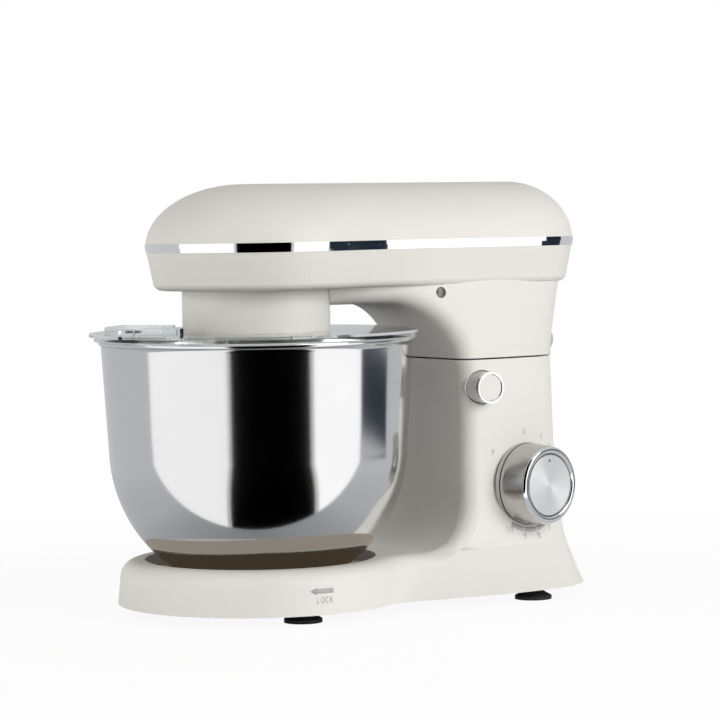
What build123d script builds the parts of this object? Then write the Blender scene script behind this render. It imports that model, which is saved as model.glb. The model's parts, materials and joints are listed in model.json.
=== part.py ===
from build123d import *
import math
import os

# Stand mixer, tilting head, about five litres. Millimetres, +Z up, nose towards -Y, dial on the +X side.
# The model is laid out about the bowl's axis and moved at the end, so that the origin is the middle of its
# length and width, on the table.

# Housing walls and gaps
WALL = 3.0
RUN = 0.4               # running gap between pieces that move past each other
SHAFT_FIT = 0.05        # radial gap of a shaft in its bush
SPLIT_GAP = 1.2         # gap between the pillar and the tilting head

# Bowl: wall, lower curve and twist foot
BOWL_RIM = 195.0        # height of the rolled bead
BOWL_RADIUS = 111.6
BOWL_DRAFT = 4.6        # how far the wall draws in from the rim to where it starts to curve
BOWL_WAIST = BOWL_RADIUS - BOWL_DRAFT
BOWL_WAIST_HEIGHT = 115.0
BOWL_KNEE = BOWL_RADIUS - 18.6          # radius and height of a point halfway down the lower curve
BOWL_KNEE_HEIGHT = 66.0
BOWL_KNEE_LEAN = 30.0   # degrees that the wall faces downwards there
BOWL_BOTTOM = 35.0
BOWL_FLAT = 66.0        # radius of the flat bottom
BOWL_WALL = 1.0
BEAD = 2.0              # radius of the rolled bead
TWIST_RADIUS = 48.0     # outside of the ring that the bowl twists on
TWIST_WALL = 4.0
LUG_REACH = 8.0
LUG_HEIGHT = 1.6
LUG_ANGLE = 22.0
LUG_COUNT = 3
SEAT_PLATE = 3.0

# Splash guard over the bowl, and the collar that carries it
GUARD_CLEAR = 2.5       # guard's plate above the bowl's bead
GUARD_WALL = 2.0
GUARD_SKIRT = 3.5       # depth of the skirt round the bowl's bead
GUARD_GAP = 0.6         # skirt outside the bead
GUARD_FLANGE = 0.4      # plate outside the skirt
GUARD_UNDER = BOWL_RIM + BEAD + GUARD_CLEAR
GUARD_TOP = GUARD_UNDER + GUARD_WALL
SKIRT_RADIUS = BOWL_RADIUS + BEAD + GUARD_GAP + GUARD_WALL
GUARD_RADIUS = SKIRT_RADIUS + GUARD_FLANGE
GUARD_LUG = 2.5
GUARD_LUG_COUNT = 4
GUARD_LUG_ANGLE = 14.0
GUARD_LUG_START = 45.0  # direction of the first lug
GUARD_TWIST = 45.0      # degrees that the guard turns until its notches meet the lugs
FEED_LIP = 3.2          # how far the pouring lip stands out beside the feed opening
LIP_RADIUS = GUARD_RADIUS + FEED_LIP
FEED_OUTER = GUARD_RADIUS - 10.0
FEED_INNER = 68.0
FEED_ANGLE = 245.0      # direction of the splash guard's feed opening
FEED_WIDTH = 62.0
COLLAR_RADIUS = 53.0
COLLAR_BOTTOM = GUARD_UNDER - 2.0

# C-shaped throat between the bowl's place, the arm and the pillar
THROAT_FACE = 145.0     # pillar's inner face from the bowl's axis
ARM_CLEAR = 17.5        # arm's underside above the splash guard
ARM_UNDERSIDE = GUARD_TOP + ARM_CLEAR
THROAT_LOW_BLEND = 40.0
THROAT_HIGH_BLEND = 56.0
THROAT_EDGE = 12.0      # rounding of the throat's side edges
THROAT_WALL = 6.0

# Head
NOSE_RADIUS = 78.5
ARM_HALF_WIDTH = 57.0
HEAD_REAR_CENTRE = 212.5
BELLY = 12.5            # depth of the arm's belly below the head
HEAD_HEIGHT = 75.0
HEAD_BOTTOM = ARM_UNDERSIDE + BELLY
HEAD_TOP = HEAD_BOTTOM + HEAD_HEIGHT
BELT_LINE = HEAD_BOTTOM + 30.5          # height of the widest line of the head
HEAD_DRAFT = 5.0
HEAD_EDGE = 6.0
DOME_REACH_NOSE = 70.0
DOME_REACH_ARM = 50.0
SHOULDER_START = 30.0   # where the round nose starts to narrow into the arm
SHOULDER_END = 82.0
TRIM_LOW = BELT_LINE - 3.5
TRIM_HIGH = BELT_LINE + 3.0
TRIM_PROUD = 0.4

# Base and pillar
FOOT_HEIGHT = 8.0       # underside of the base above the table
BASE_RADIUS = 102.5
BASE_TOP = 39.0
BASE_DRAFT = 3.0        # how far the round base draws in from its foot to its top
WAIST_BLEND = 40.0
SEAT_RADIUS = BASE_RADIUS - 19.5
SEAT_FLOOR = 27.0
SPLIT_HEIGHT = ARM_UNDERSIDE - 43.0
SIDE_ARC = 250.0        # gentle plan curve of the pillar's sides
SIDE_TURN = 11.0        # degrees that the sides turn before the rear corner
# Pillar sections: height, half width, rear corner radius, rear end from the bowl's axis, taper in degrees
BASE_SECTION = (FOOT_HEIGHT, 90.0, 60.0, 255.0, 6.0)
FLARE_SECTION = (20.0, 79.0, 54.0, 253.5, 4.5)
LEDGE_SECTION = (BASE_TOP, 66.0, 48.0, 251.0, 2.0)
KNEE_SECTION = (62.0, 58.0, 44.0, 249.5, 0.5)
MIDDLE_SECTION = (111.0, 54.5, 42.0, 246.5, 0.5)
SPLIT_SECTION = (SPLIT_HEIGHT, 53.0, 40.0, 244.0, 0.5)
NECK_SECTION = (ARM_UNDERSIDE - 14.0, 52.5, 40.0, 248.5, 6.0)
CROWN_SECTION = (HEAD_BOTTOM + 8.5, 50.5, 40.0, 257.0, 6.0)

# Feet, bottom plate and screws
FOOT_RADIUS = 13.5
FOOT_NECK = 8.0
FOOT_SIDE = 71.5
FOOT_FRONT = -9.0
FOOT_REAR = 190.0
FOOT_CUP = 2.5
FOOT_STUD = 4.0
PLATE = 3.0
PLATE_INSET = 7.0
SCREW_HEAD = 4.0
SCREW_SHANK = 1.6
BOSS_RADIUS = 5.5
BASE_BOSSES = [(0.6 * BASE_RADIUS, -0.55 * BASE_RADIUS), (56.0, 110.0), (60.0, 212.0)]

# Tilt hinge
HINGE_Y = 232.0
HINGE_Z = SPLIT_HEIGHT + 12.0
PIN_RADIUS = 4.0
KNUCKLE_RADIUS = 11.0
KNUCKLE_HALF = 25.0
YOKE_RADIUS = 9.0
YOKE_WALL = 6.0
NOTCH_HALF = 33.0
NOTCH_TOP = HINGE_Z + 15.0

# Speed dial on the pillar's side
DIAL_X = 55.0
DIAL_Y = 198.0
DIAL_Z = 83.0
DIAL_TURN = 11.0        # degrees that the dial faces towards the rear
DIAL_RADIUS = 30.0
DIAL_FRONT = 28.3
DIAL_FACE = 22.5
DIAL_START = 0.2        # how far the knob stands off the pillar
DIAL_DEPTH = 23.3
DIAL_SHAFT = 3.0
DIAL_BAND = 3.0         # straight band at the foot of the knob's skirt
DIAL_CHAMFER = 1.5
DIAL_DISH = 2.0         # depth of the dish in the knob's front
FACE_THICK = 1.2
DOT_RADIUS = 1.0
DOT_DEPTH = 0.4
BEZEL_SEAT = 3.5        # depth of the bezel's seat in the pillar's side
BEZEL_SPIGOT = 14.0
SWITCH_SIZE = 28.0
SWITCH_DEPTH = 16.0
SWITCH_CORNER = 4.0
SWITCH_TAGS = 4
TAG_WIDTH = 4.0
TAG_THICK = 1.0
TAG_LENGTH = 6.0
BOARD_X = 40.0          # control board's back from the middle, its edges and its heat sink
BOARD_THICK = 1.6
BOARD_FRONT = 164.0
BOARD_REAR = 216.0
BOARD_LOW = 62.0
BOARD_HIGH = 130.0
SINK_DEPTH = 20.0
SINK_SLOTS = 5

# Release button and latch
BUTTON_Y = 158.6
BUTTON_Z = SPLIT_HEIGHT - 20.0
BUTTON_RADIUS = 11.4
BUTTON_FACE_X = 66.0
BUTTON_BACK_X = 40.0
BUTTON_TRAVEL = 6.0
BUTTON_RIM = 2.0        # width and depth of the bright ring round the button's face
BUTTON_RIM_DEPTH = 3.0
BUTTON_DISH = 0.6       # how far the face lies behind the ring
SLEEVE_RADIUS = 12.8
SLEEVE_END_X = 51.0
SLEEVE_FLOOR_X = 31.0
STEM_RADIUS = 4.0
SPRING_WIRE = 1.0
SPRING_TURNS = 2.5
SLIDE_THICK = 3.0
SLIDE_END_X = -18.0
SLIDE_STEM_X = 12.0
KEEPER_Y = 172.0
KEEPER_LEFT = -5.0
KEEPER_RIGHT = 2.0
KEEPER_THICK = 3.0
BARB = 3.6

# Drive train: vertical motor in the neck, belt to a layshaft, spur pair to the planet carrier
GEAR_MODULE = 1.5
GEAR_FACE = 8.0
PRESSURE_ANGLE = 25.0
STUB = 0.8              # tooth height above the pitch line, in modules
TOOTH_ROOT = 1.05       # tooth depth below the pitch line, in modules
BACKLASH = 0.25
RING_TEETH = 42
PINION_TEETH = 14
MAIN_TEETH = 60
WEB_CIRCLE = 26.0       # circle, radius and number of the holes that lighten the large wheel
WEB_HOLE = 9.0
WEB_HOLES = 6
LAY_TEETH = 12
MOTOR_Y = 190.0
MOTOR_RADIUS = 39.0
MOTOR_SHAFT = 4.0
CAN_WALL = 2.0
CAN_SLOT = 7.0
CAN_SLOTS = 8
MAGNET_ANGLE = 120.0
ROTOR_RADIUS = 26.0
ROTOR_SLOTS = 9
COMMUTATOR = 10.0
FAN_RADIUS = 34.0
FAN_EYE = 12.0          # radius where the blades start
FAN_SHEET = 1.5
FAN_BLADE = 7.0
FAN_BLADES = 10
CHASSIS = 4.0
CHASSIS_NOSE = 64.0
CHASSIS_HALF = 46.0
CHASSIS_POSTS = [(38.0, -32.0), (28.0, 112.0)]
BRIDGE_POSTS = [(40.0, 34.0), (20.0, 78.0)]
BRIDGE = 3.0
PULLEY = 9.0
PULLEY_FLANGE = 1.2
MOTOR_PULLEY = 7.0
LAY_PULLEY = 42.0
BELT = 2.0
SHAFT_RADIUS = 6.0
LAY_SHAFT = 5.0
BUSH_WALL = 3.0
BUSH_FLANGE = 1.0
SHAFT_END = 1.0         # how far a shaft stands out of its bearing
SPINDLE_HEAD = 2.0
RING_FACE = 10.0
RING_OUTER = 46.0
CARRIER = 5.0
CARRIER_RADIUS = 37.0
HUB_RADIUS = 8.0
COVER_RADIUS = 47.0
DRIVE_PIN = 2.0
DRIVE_PIN_HALF = 12.0
BEATER_HALF = 58.0
BEATER_BAR = 12.0
BEATER_THICK = 8.0
BEATER_RIB = 8.4
BEATER_LEAN = 24.0      # degrees that the cross ribs lean
BEATER_HUB = 10.0

# Heights of the drive train, from the head's floor and from the collar
CHASSIS_LOW = HEAD_BOTTOM + WALL + 2.5
GEAR_LOW = CHASSIS_LOW + CHASSIS + 5.0
BRIDGE_LOW = GEAR_LOW + GEAR_FACE + 6.0
PULLEY_LOW = BRIDGE_LOW + BRIDGE + 7.0
MOTOR_LOW = CHASSIS_LOW - 33.0
MOTOR_HIGH = CHASSIS_LOW + 21.0
MAGNET_LOW = MOTOR_LOW + 14.0
MAGNET_HIGH = MOTOR_HIGH - 8.0
CORE_LOW = MAGNET_LOW + 2.0
CORE_HIGH = MAGNET_HIGH - 2.0
RING_LOW = COLLAR_BOTTOM + 7.5
CARRIER_LOW = RING_LOW + RING_FACE + WALL
SPINDLE_BOTTOM = COLLAR_BOTTOM - 21.5
DRIVE_PIN_Z = SPINDLE_BOTTOM + 11.0
BEATER_HIGH = SPINDLE_BOTTOM - 9.0
BEATER_LOW = BOWL_BOTTOM + 8.0

ORBIT = GEAR_MODULE * (RING_TEETH - PINION_TEETH) / 2
LAY_Y = GEAR_MODULE * (MAIN_TEETH + LAY_TEETH) / 2
BUTTON_BORE = SLEEVE_RADIUS + SHAFT_FIT
CORD_INLET_Z = 32.0
CORD_INLET_RADIUS = 7.0
CORD_BORE = 3.5
GLAND_FLANGE = 2.0
DECK_SLOT = (-12.0, 6.0, 157.0, 178.0)  # opening for the latch keeper: low and high X, low and high Y
NECK_SCREW = (128.0, ARM_UNDERSIDE + 7.0)              # screw hole in the arm's corner: Y and Z
FAR = 400.0             # longer than anything that is cut

# The bowl's axis is this far in front of the middle of the whole length
MIDDLE = (HEAD_REAR_CENTRE + ARM_HALF_WIDTH + TRIM_PROUD - LIP_RADIUS) / 2
HOME = Location((0, -MIDDLE, 0))


def plan_half(half_width, corner, rear, taper, front):
    """Right half of a pillar section: tapering side, gentle side arc, rear corner arc, flat rear."""
    turn = math.radians(SIDE_TURN)
    lead = math.radians(taper)
    bend = (turn + math.pi / 2) / 2
    widest_x = half_width - SIDE_ARC
    corner_x = widest_x + (SIDE_ARC - corner) * math.cos(turn)
    corner_y = rear - corner
    widest_y = corner_y - (SIDE_ARC - corner) * math.sin(turn)
    start = (widest_x + SIDE_ARC * math.cos(lead), widest_y - SIDE_ARC * math.sin(lead))
    widest = (half_width, widest_y)
    finish = (widest_x + SIDE_ARC * math.cos(turn), widest_y + SIDE_ARC * math.sin(turn))
    corner_middle = (corner_x + corner * math.cos(bend), corner_y + corner * math.sin(bend))
    front_corner = (start[0] - (start[1] - front) * math.tan(lead), front)
    return [
        Line(front_corner, start),
        ThreePointArc(start, widest, finish),
        ThreePointArc(finish, corner_middle, (corner_x, rear)),
        Line((corner_x, rear), (0, rear)),
        Line((0, front), front_corner),
    ]


def pillar_section(section, inset, front):
    """Closed plan of the pillar at one height, drawn in by the inset."""
    height, half_width, corner, rear, taper = section
    right = plan_half(half_width - inset, corner - inset, rear - inset, taper, front)
    left = [mirror(edge, Plane.YZ) for edge in right]
    return Plane.XY.offset(height) * make_face(right + left)


def foot_section(section, disc_radius, inset):
    """Plan of the base at one height: the round front blended into the flared rear."""
    height = section[0]
    flat = (0.0,) + section[1:]
    outline = Circle(disc_radius - inset) + pillar_section(flat, inset, 0)
    corners = [v for v in outline.vertices() if WAIST_BLEND < v.Y < disc_radius]
    outline = fillet(corners, WAIST_BLEND + inset)
    return Plane.XY.offset(height) * outline


def throat(inset):
    """Block that opens the C-shaped throat, grown by the inset so that an inner form keeps its wall."""
    face = THROAT_FACE + inset
    bottom = BASE_TOP - inset
    top = ARM_UNDERSIDE + inset
    reach = 2 * BASE_RADIUS
    outline = make_face(Polyline((-reach, bottom), (face, bottom), (face, top), (-reach, top), close=True))
    inner = outline.vertices().sort_by(Axis.X)[-2:].sort_by(Axis.Y)
    outline = fillet(inner[0], THROAT_LOW_BLEND + inset)
    inner = outline.vertices().sort_by(Axis.Y)[-2:].sort_by(Axis.X)
    outline = fillet(inner[-1], THROAT_HIGH_BLEND + inset)
    return extrude(Plane.YZ.offset(-reach) * outline, 2 * reach)


def throat_seeds(form, height):
    """Level edges along the throat's sides at one height; the other edges of the chain follow them."""
    level = [edge for edge in form.edges() if edge.bounding_box().size.Z < RUN]
    level = [edge for edge in level if abs(edge.center().Z - height) < RUN and edge.center().Y < THROAT_FACE]
    return [edge for edge in level if edge.bounding_box().size.Y > THROAT_FACE / 2]


def base_form(inset, throat_inset):
    """Whole base and pillar as one solid, its sides and its throat drawn in by their insets."""
    rise = (FLARE_SECTION[0] - FOOT_HEIGHT) / (BASE_TOP - FOOT_HEIGHT)
    lower = loft([
        foot_section(BASE_SECTION, BASE_RADIUS, inset),
        foot_section(FLARE_SECTION, BASE_RADIUS - BASE_DRAFT * rise, inset),
        foot_section(LEDGE_SECTION, BASE_RADIUS - BASE_DRAFT, inset),
    ])
    sections = [LEDGE_SECTION, KNEE_SECTION, MIDDLE_SECTION, SPLIT_SECTION]
    pillar = loft([pillar_section(s, inset, BASE_RADIUS - BASE_DRAFT) for s in sections])
    return lower + pillar - throat(throat_inset)


def head_half_width(y):
    """Half width of the head at its widest line: round nose, S-shaped shoulder, straight arm."""
    if y <= SHOULDER_START:
        return math.sqrt(NOSE_RADIUS ** 2 - y ** 2)
    span = SHOULDER_END - SHOULDER_START
    start = math.sqrt(NOSE_RADIUS ** 2 - SHOULDER_START ** 2)
    slope = -SHOULDER_START / start * span
    t = (y - SHOULDER_START) / span
    return ((2 * t ** 3 - 3 * t ** 2 + 1) * start + (t ** 3 - 2 * t ** 2 + t) * slope
            + (3 * t ** 2 - 2 * t ** 3) * ARM_HALF_WIDTH)


def head_profile(half_width, inset):
    """Right half of the head's cross-section: flat bottom, rounded edge, drafted side, elliptic dome."""
    share = (half_width - ARM_HALF_WIDTH) / (NOSE_RADIUS - ARM_HALF_WIDTH)
    reach = DOME_REACH_ARM + share * (DOME_REACH_NOSE - DOME_REACH_ARM)
    side = half_width - inset
    bottom = HEAD_BOTTOM + inset
    top = HEAD_TOP - inset
    edge = HEAD_EDGE - inset / 2
    low_side = side - HEAD_DRAFT
    dome = EllipticalCenterArc((half_width - reach, BELT_LINE), reach - inset, top - BELT_LINE, arc_size=90)
    bend = math.sqrt(0.5)
    round_middle = (low_side - edge + edge * bend, bottom + edge - edge * bend)
    return [
        Line((0, bottom), (low_side - edge, bottom)),
        ThreePointArc((low_side - edge, bottom), round_middle, (low_side, bottom + edge)),
        Line((low_side, bottom + edge), (side, BELT_LINE)),
        dome,
        Line((half_width - reach, top), (0, top)),
    ]


def head_slice(y, inset):
    """Whole cross-section of the head at one place along its length."""
    right = head_profile(head_half_width(y), inset)
    left = [mirror(edge, Plane.YZ) for edge in right]
    return Plane.XZ.offset(-y) * make_face(right + left)


def half_turn(half_width, inset, y, turn):
    """Round end of the head: half a turn of its profile about an upright axis."""
    edges = head_profile(half_width, inset)
    edges.append(Line((0, HEAD_TOP - inset), (0, HEAD_BOTTOM + inset)))
    half = Plane.XZ * make_face(edges)
    return Pos(0, y, 0) * revolve(half, Axis.Z, turn)


def head_form(inset):
    """Whole head above the arm's underside as one solid, drawn in by the inset."""
    nose = half_turn(NOSE_RADIUS, inset, 0, -180)
    steps = 6
    places = [SHOULDER_END * i / steps for i in range(steps + 1)]
    shoulder = loft([head_slice(y, inset) for y in places])
    arm = extrude(head_slice(SHOULDER_END, inset), HEAD_REAR_CENTRE - SHOULDER_END, dir=(0, 1, 0))
    rear = half_turn(ARM_HALF_WIDTH, inset, HEAD_REAR_CENTRE, 180)
    return nose + shoulder + arm + rear


def neck_form(inset, throat_inset):
    """Arm's belly and neck, from the split line up into the head."""
    neck = loft([pillar_section(s, inset, 0) for s in (SPLIT_SECTION, NECK_SECTION, CROWN_SECTION)])
    return neck - throat(throat_inset)


def tube(outer, inner, low, high, x=0.0, y=0.0):
    """Upright ring or, with no inner radius, upright rod between two heights."""
    ring = Circle(outer)
    if inner > 0:
        ring = ring - Circle(inner)
    return Pos(x, y, low) * extrude(ring, high - low)


def rod_x(outer, inner, start, end, y, z):
    """Ring or rod along X."""
    ring = Circle(outer)
    if inner > 0:
        ring = ring - Circle(inner)
    return extrude(Plane.YZ.offset(start) * Pos(y, z) * ring, end - start)


def block(x_low, x_high, y_low, y_high, z_low, z_high):
    """Plain block between opposite corners."""
    size = Box(x_high - x_low, y_high - y_low, z_high - z_low)
    return Pos((x_low + x_high) / 2, (y_low + y_high) / 2, (z_low + z_high) / 2) * size


def sector(outer, inner, low, high, angle, width):
    """Upright ring sector, centred on an angle in degrees."""
    far = 2 * outer
    half = math.radians(width / 2)
    along = far * math.cos(half)
    across = far * math.sin(half)
    wedge = make_face(Polyline((0, 0), (along, -across), (along, across), close=True))
    ring = Circle(outer) - Circle(inner)
    return Pos(0, 0, low) * Rot(0, 0, angle) * extrude(ring & wedge, high - low)


def both_sides(places):
    """Places on the right and their mirror images on the left."""
    return [(side * x, y) for x, y in places for side in (1, -1)]


def dial_plane():
    """Plane of the dial on the pillar's side: its normal is the dial's axis, its Y is up."""
    turn = math.radians(DIAL_TURN)
    out = (math.cos(turn), math.sin(turn), 0)
    across = (-math.sin(turn), math.cos(turn), 0)
    return Plane(origin=(DIAL_X, DIAL_Y, DIAL_Z), x_dir=across, z_dir=out)


def dial_rod(outer, inner, start, end):
    """Ring or rod on the dial's axis, between two distances from the pillar."""
    ring = Circle(outer)
    if inner > 0:
        ring = ring - Circle(inner)
    return extrude(dial_plane().offset(start) * ring, end - start)


def rod_y(outer, inner, start, end, x, z):
    """Ring or rod along Y."""
    ring = Circle(outer)
    if inner > 0:
        ring = ring - Circle(inner)
    return extrude(Plane.XZ.offset(-start) * Pos(x, z) * ring, start - end)


# Base and pillar

def base_housing():
    """Round base, flared pillar and deck as one moulded shell, open below."""
    outer = base_form(0, 0)
    outer = fillet(throat_seeds(outer, BASE_TOP), THROAT_EDGE)
    inner = base_form(WALL, THROAT_WALL)
    inner -= block(-FAR, FAR, -FAR, FAR, SPLIT_HEIGHT - WALL, FAR)
    inner -= tube(SEAT_RADIUS + WALL, 0, SEAT_FLOOR - WALL, FAR)
    shell = outer - inner
    for x, y in both_sides(BASE_BOSSES):
        shell += tube(BOSS_RADIUS, 0, FOOT_HEIGHT + PLATE, LEDGE_SECTION[0] + BOSS_RADIUS, x, y) & outer
    shell -= tube(SEAT_RADIUS, 0, SEAT_FLOOR, FAR)
    for x, y in both_sides(BASE_BOSSES):
        shell -= tube(SCREW_SHANK, 0, FOOT_HEIGHT, SEAT_FLOOR - WALL, x, y)
    shell -= rod_x(BUTTON_BORE, 0, SLEEVE_FLOOR_X - WALL, FAR, BUTTON_Y, BUTTON_Z)
    shell -= dial_rod(BEZEL_SPIGOT + SHAFT_FIT, 0, -DIAL_RADIUS / 2, DIAL_RADIUS)
    shell -= dial_rod(DIAL_RADIUS + RUN, 0, -BEZEL_SEAT, DIAL_RADIUS)
    shell -= block(*DECK_SLOT, SPLIT_HEIGHT - 2 * WALL, FAR)
    rear = BASE_SECTION[3]
    shell -= rod_y(CORD_INLET_RADIUS + SHAFT_FIT, 0, rear - 6 * WALL, rear + WALL, 0, CORD_INLET_Z)
    return shell


def bottom_plate():
    """Flat plate that closes the base, with clearance holes for its screws and for the feet's studs."""
    flat = foot_section((0.0,) + BASE_SECTION[1:], BASE_RADIUS, PLATE_INSET)
    plate = Pos(0, 0, FOOT_HEIGHT) * extrude(flat, PLATE)
    for x, y in both_sides(BASE_BOSSES):
        plate -= tube(SCREW_SHANK + SHAFT_FIT, 0, 0, FAR, x, y)
    for x, y in both_sides([(FOOT_SIDE, FOOT_FRONT), (FOOT_SIDE, FOOT_REAR)]):
        plate -= tube(FOOT_STUD + SHAFT_FIT, 0, 0, FAR, x, y)
    return plate


def bottom_screws():
    """Screws that hold the bottom plate, heads below it."""
    screws = []
    for x, y in both_sides(BASE_BOSSES):
        head = tube(SCREW_HEAD, 0, FOOT_HEIGHT - SCREW_SHANK, FOOT_HEIGHT, x, y)
        screws.append(head + tube(SCREW_SHANK - SHAFT_FIT, 0, FOOT_HEIGHT, SEAT_FLOOR - 2 * WALL, x, y))
    return Compound(children=screws)


def suction_foot(x, y):
    """Rubber suction cup with a stud through the bottom plate."""
    cup = make_face(Polyline(
        (0, FOOT_CUP), (FOOT_RADIUS - FOOT_CUP, 0), (FOOT_RADIUS, 0), (FOOT_RADIUS, FOOT_CUP),
        (FOOT_NECK, FOOT_HEIGHT - FOOT_CUP), (FOOT_NECK, FOOT_HEIGHT), (FOOT_STUD, FOOT_HEIGHT),
        (FOOT_STUD, FOOT_HEIGHT + 2 * PLATE), (0, FOOT_HEIGHT + 2 * PLATE), close=True))
    return Pos(x, y, 0) * revolve(Plane.XZ * cup, Axis.Z)


def seat_plate():
    """Bowl seat in the recess: ring plate with three hooked lips for the bowl's lugs."""
    top = SEAT_FLOOR + SEAT_PLATE
    lip = top + RUN + LUG_HEIGHT + RUN
    hook_in = TWIST_RADIUS + LUG_REACH + 1.5 * RUN
    plate = tube(SEAT_RADIUS - RUN, TWIST_RADIUS / 2, SEAT_FLOOR, top)
    for i in range(LUG_COUNT):
        angle = 90 + 360 / LUG_COUNT * i
        plate += sector(hook_in + WALL, hook_in, SEAT_FLOOR, lip + LUG_HEIGHT, angle, LUG_ANGLE)
        plate += sector(hook_in + WALL, TWIST_RADIUS + 3 * RUN, lip, lip + LUG_HEIGHT, angle, LUG_ANGLE)
    return plate


def hinge_bracket():
    """Knuckle block on the pillar's deck that carries the hinge pin."""
    foot = block(-KNUCKLE_HALF, KNUCKLE_HALF, HINGE_Y - KNUCKLE_RADIUS, HINGE_Y + KNUCKLE_RADIUS,
                 SPLIT_HEIGHT, HINGE_Z)
    knuckle = foot + rod_x(KNUCKLE_RADIUS, 0, -KNUCKLE_HALF, KNUCKLE_HALF, HINGE_Y, HINGE_Z)
    return knuckle - rod_x(PIN_RADIUS + SHAFT_FIT, 0, -FAR, FAR, HINGE_Y, HINGE_Z)


def hinge_pin():
    """Steel pin through the knuckle and the yoke's two ears."""
    half = KNUCKLE_HALF + RUN + YOKE_WALL
    return rod_x(PIN_RADIUS, 0, -half, half, HINGE_Y, HINGE_Z)


def dial_bezel():
    """Flat round seat of the dial let into the pillar's side, with a spigot that carries the switch."""
    bezel = dial_rod(DIAL_RADIUS + RUN - SHAFT_FIT, 0, -BEZEL_SEAT, DIAL_START - RUN)
    bezel += dial_rod(BEZEL_SPIGOT, 0, -2 * BEZEL_SEAT, -BEZEL_SEAT)
    return bezel - dial_rod(DIAL_SHAFT + SHAFT_FIT, 0, -FAR, FAR)


def speed_switch():
    """Rotary switch behind the bezel: rounded body, bore for the dial's shaft and four tags."""
    back = -2 * BEZEL_SEAT
    outline = RectangleRounded(SWITCH_SIZE, SWITCH_SIZE, SWITCH_CORNER)
    body = extrude(dial_plane().offset(back - SWITCH_DEPTH) * outline, SWITCH_DEPTH)
    pitch = SWITCH_SIZE / (SWITCH_TAGS + 1)
    for i in range(SWITCH_TAGS):
        place = Pos((i + 1) * pitch - SWITCH_SIZE / 2, -SWITCH_SIZE / 4)
        tag = place * Rectangle(TAG_WIDTH, TAG_THICK)
        body += extrude(dial_plane().offset(back - SWITCH_DEPTH - TAG_LENGTH) * tag, TAG_LENGTH)
    return body - dial_rod(DIAL_SHAFT + SHAFT_FIT, 0, back - SWITCH_DEPTH / 2, FAR)


def control_board():
    """Motor control board beside the left wall: slotted heat sink, coil, capacitor and terminal block."""
    face = -BOARD_X + BOARD_THICK
    third = (BOARD_HIGH - BOARD_LOW) / 3
    half = (BOARD_REAR - BOARD_FRONT) / 2
    middle = BOARD_FRONT + half
    board = block(-BOARD_X, face, BOARD_FRONT, BOARD_REAR, BOARD_LOW, BOARD_HIGH)
    sink_front = middle - half + WALL
    sink_low = BOARD_HIGH - third - 2 * WALL
    board += block(face, face + SINK_DEPTH, sink_front, middle, sink_low, BOARD_HIGH - WALL)
    for i in range(SINK_SLOTS):
        slot = sink_front + (i + 0.5) * (middle - sink_front) / SINK_SLOTS
        board -= block(face + WALL, FAR, slot - WALL / 3, slot + WALL / 3, sink_low - WALL, BOARD_HIGH)
    coil = (third - WALL) / 2
    board += rod_x(coil, 0, face, face + SINK_DEPTH / 2, middle + half / 2, BOARD_HIGH - third / 2)
    board += rod_x(third / 3, 0, face, face + SINK_DEPTH, middle - half / 2, BOARD_LOW + third / 2)
    terminal = block(0, SINK_DEPTH / 2, middle, BOARD_REAR - WALL, BOARD_LOW + WALL, BOARD_LOW + third / 2)
    return board + Pos(face, 0, 0) * terminal


def board_posts():
    """Four posts between the left wall and the control board."""
    wall = base_form(WALL, THROAT_WALL)
    posts = []
    for y in (BOARD_FRONT + 2 * WALL, BOARD_REAR - 2 * WALL):
        for z in (BOARD_LOW + 2 * WALL, BOARD_HIGH - 2 * WALL):
            posts.append((rod_x(WALL, 0, -FAR / 4, -BOARD_X, y, z) & wall).solid())
    return Compound(children=posts)


def cord_inlet():
    """Rubber gland for the supply cord in the rear wall, with a flange outside and one inside."""
    outside = FLARE_SECTION[3] + SHAFT_FIT
    inside = LEDGE_SECTION[3] - WALL - 2 * RUN
    flange = CORD_INLET_RADIUS + GLAND_FLANGE
    gland = rod_y(CORD_INLET_RADIUS, 0, inside, outside, 0, CORD_INLET_Z)
    gland += rod_y(flange, 0, outside, outside + GLAND_FLANGE, 0, CORD_INLET_Z)
    gland += rod_y(flange, 0, inside - GLAND_FLANGE, inside, 0, CORD_INLET_Z)
    return gland - rod_y(CORD_BORE, 0, -FAR, FAR, 0, CORD_INLET_Z)


def button_sleeve():
    """Guide cup of the release button, let into the pillar's corner."""
    cup = rod_x(SLEEVE_RADIUS, BUTTON_RADIUS + RUN, SLEEVE_FLOOR_X, SLEEVE_END_X, BUTTON_Y, BUTTON_Z)
    return cup + rod_x(SLEEVE_RADIUS, STEM_RADIUS + SHAFT_FIT, SLEEVE_FLOOR_X - WALL, SLEEVE_FLOOR_X,
                       BUTTON_Y, BUTTON_Z)


# Dial and button

def dial_knob():
    """Bright knob: tapering skirt, raised ring round the face, shaft into the switch."""
    end = DIAL_START + DIAL_DEPTH
    skirt = make_face(Polyline(
        (0, DIAL_START), (DIAL_RADIUS, DIAL_START), (DIAL_RADIUS, DIAL_START + DIAL_BAND),
        (DIAL_FRONT, end - DIAL_CHAMFER), (DIAL_FRONT - DIAL_CHAMFER, end), (DIAL_FACE + DIAL_DISH, end),
        (DIAL_FACE, end - DIAL_DISH), (0, end - DIAL_DISH), close=True))
    plane = dial_plane()
    knob = plane * revolve(Plane.XZ * skirt, Axis.Z)
    return knob + dial_rod(DIAL_SHAFT, 0, -2 * BEZEL_SEAT - SWITCH_DEPTH / 2 + RUN, DIAL_START)


def dial_face():
    """Thin turned disc in the knob's front, with its pointer dot let in."""
    low = DIAL_START + DIAL_DEPTH - DIAL_DISH
    high = low + FACE_THICK
    disc = dial_rod(DIAL_FACE - RUN, 0, low, high)
    dot = dial_plane().offset(high - DOT_DEPTH) * Pos(0, DIAL_FACE * 0.8) * Circle(DOT_RADIUS)
    return disc - extrude(dot, FACE_THICK)


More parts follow.
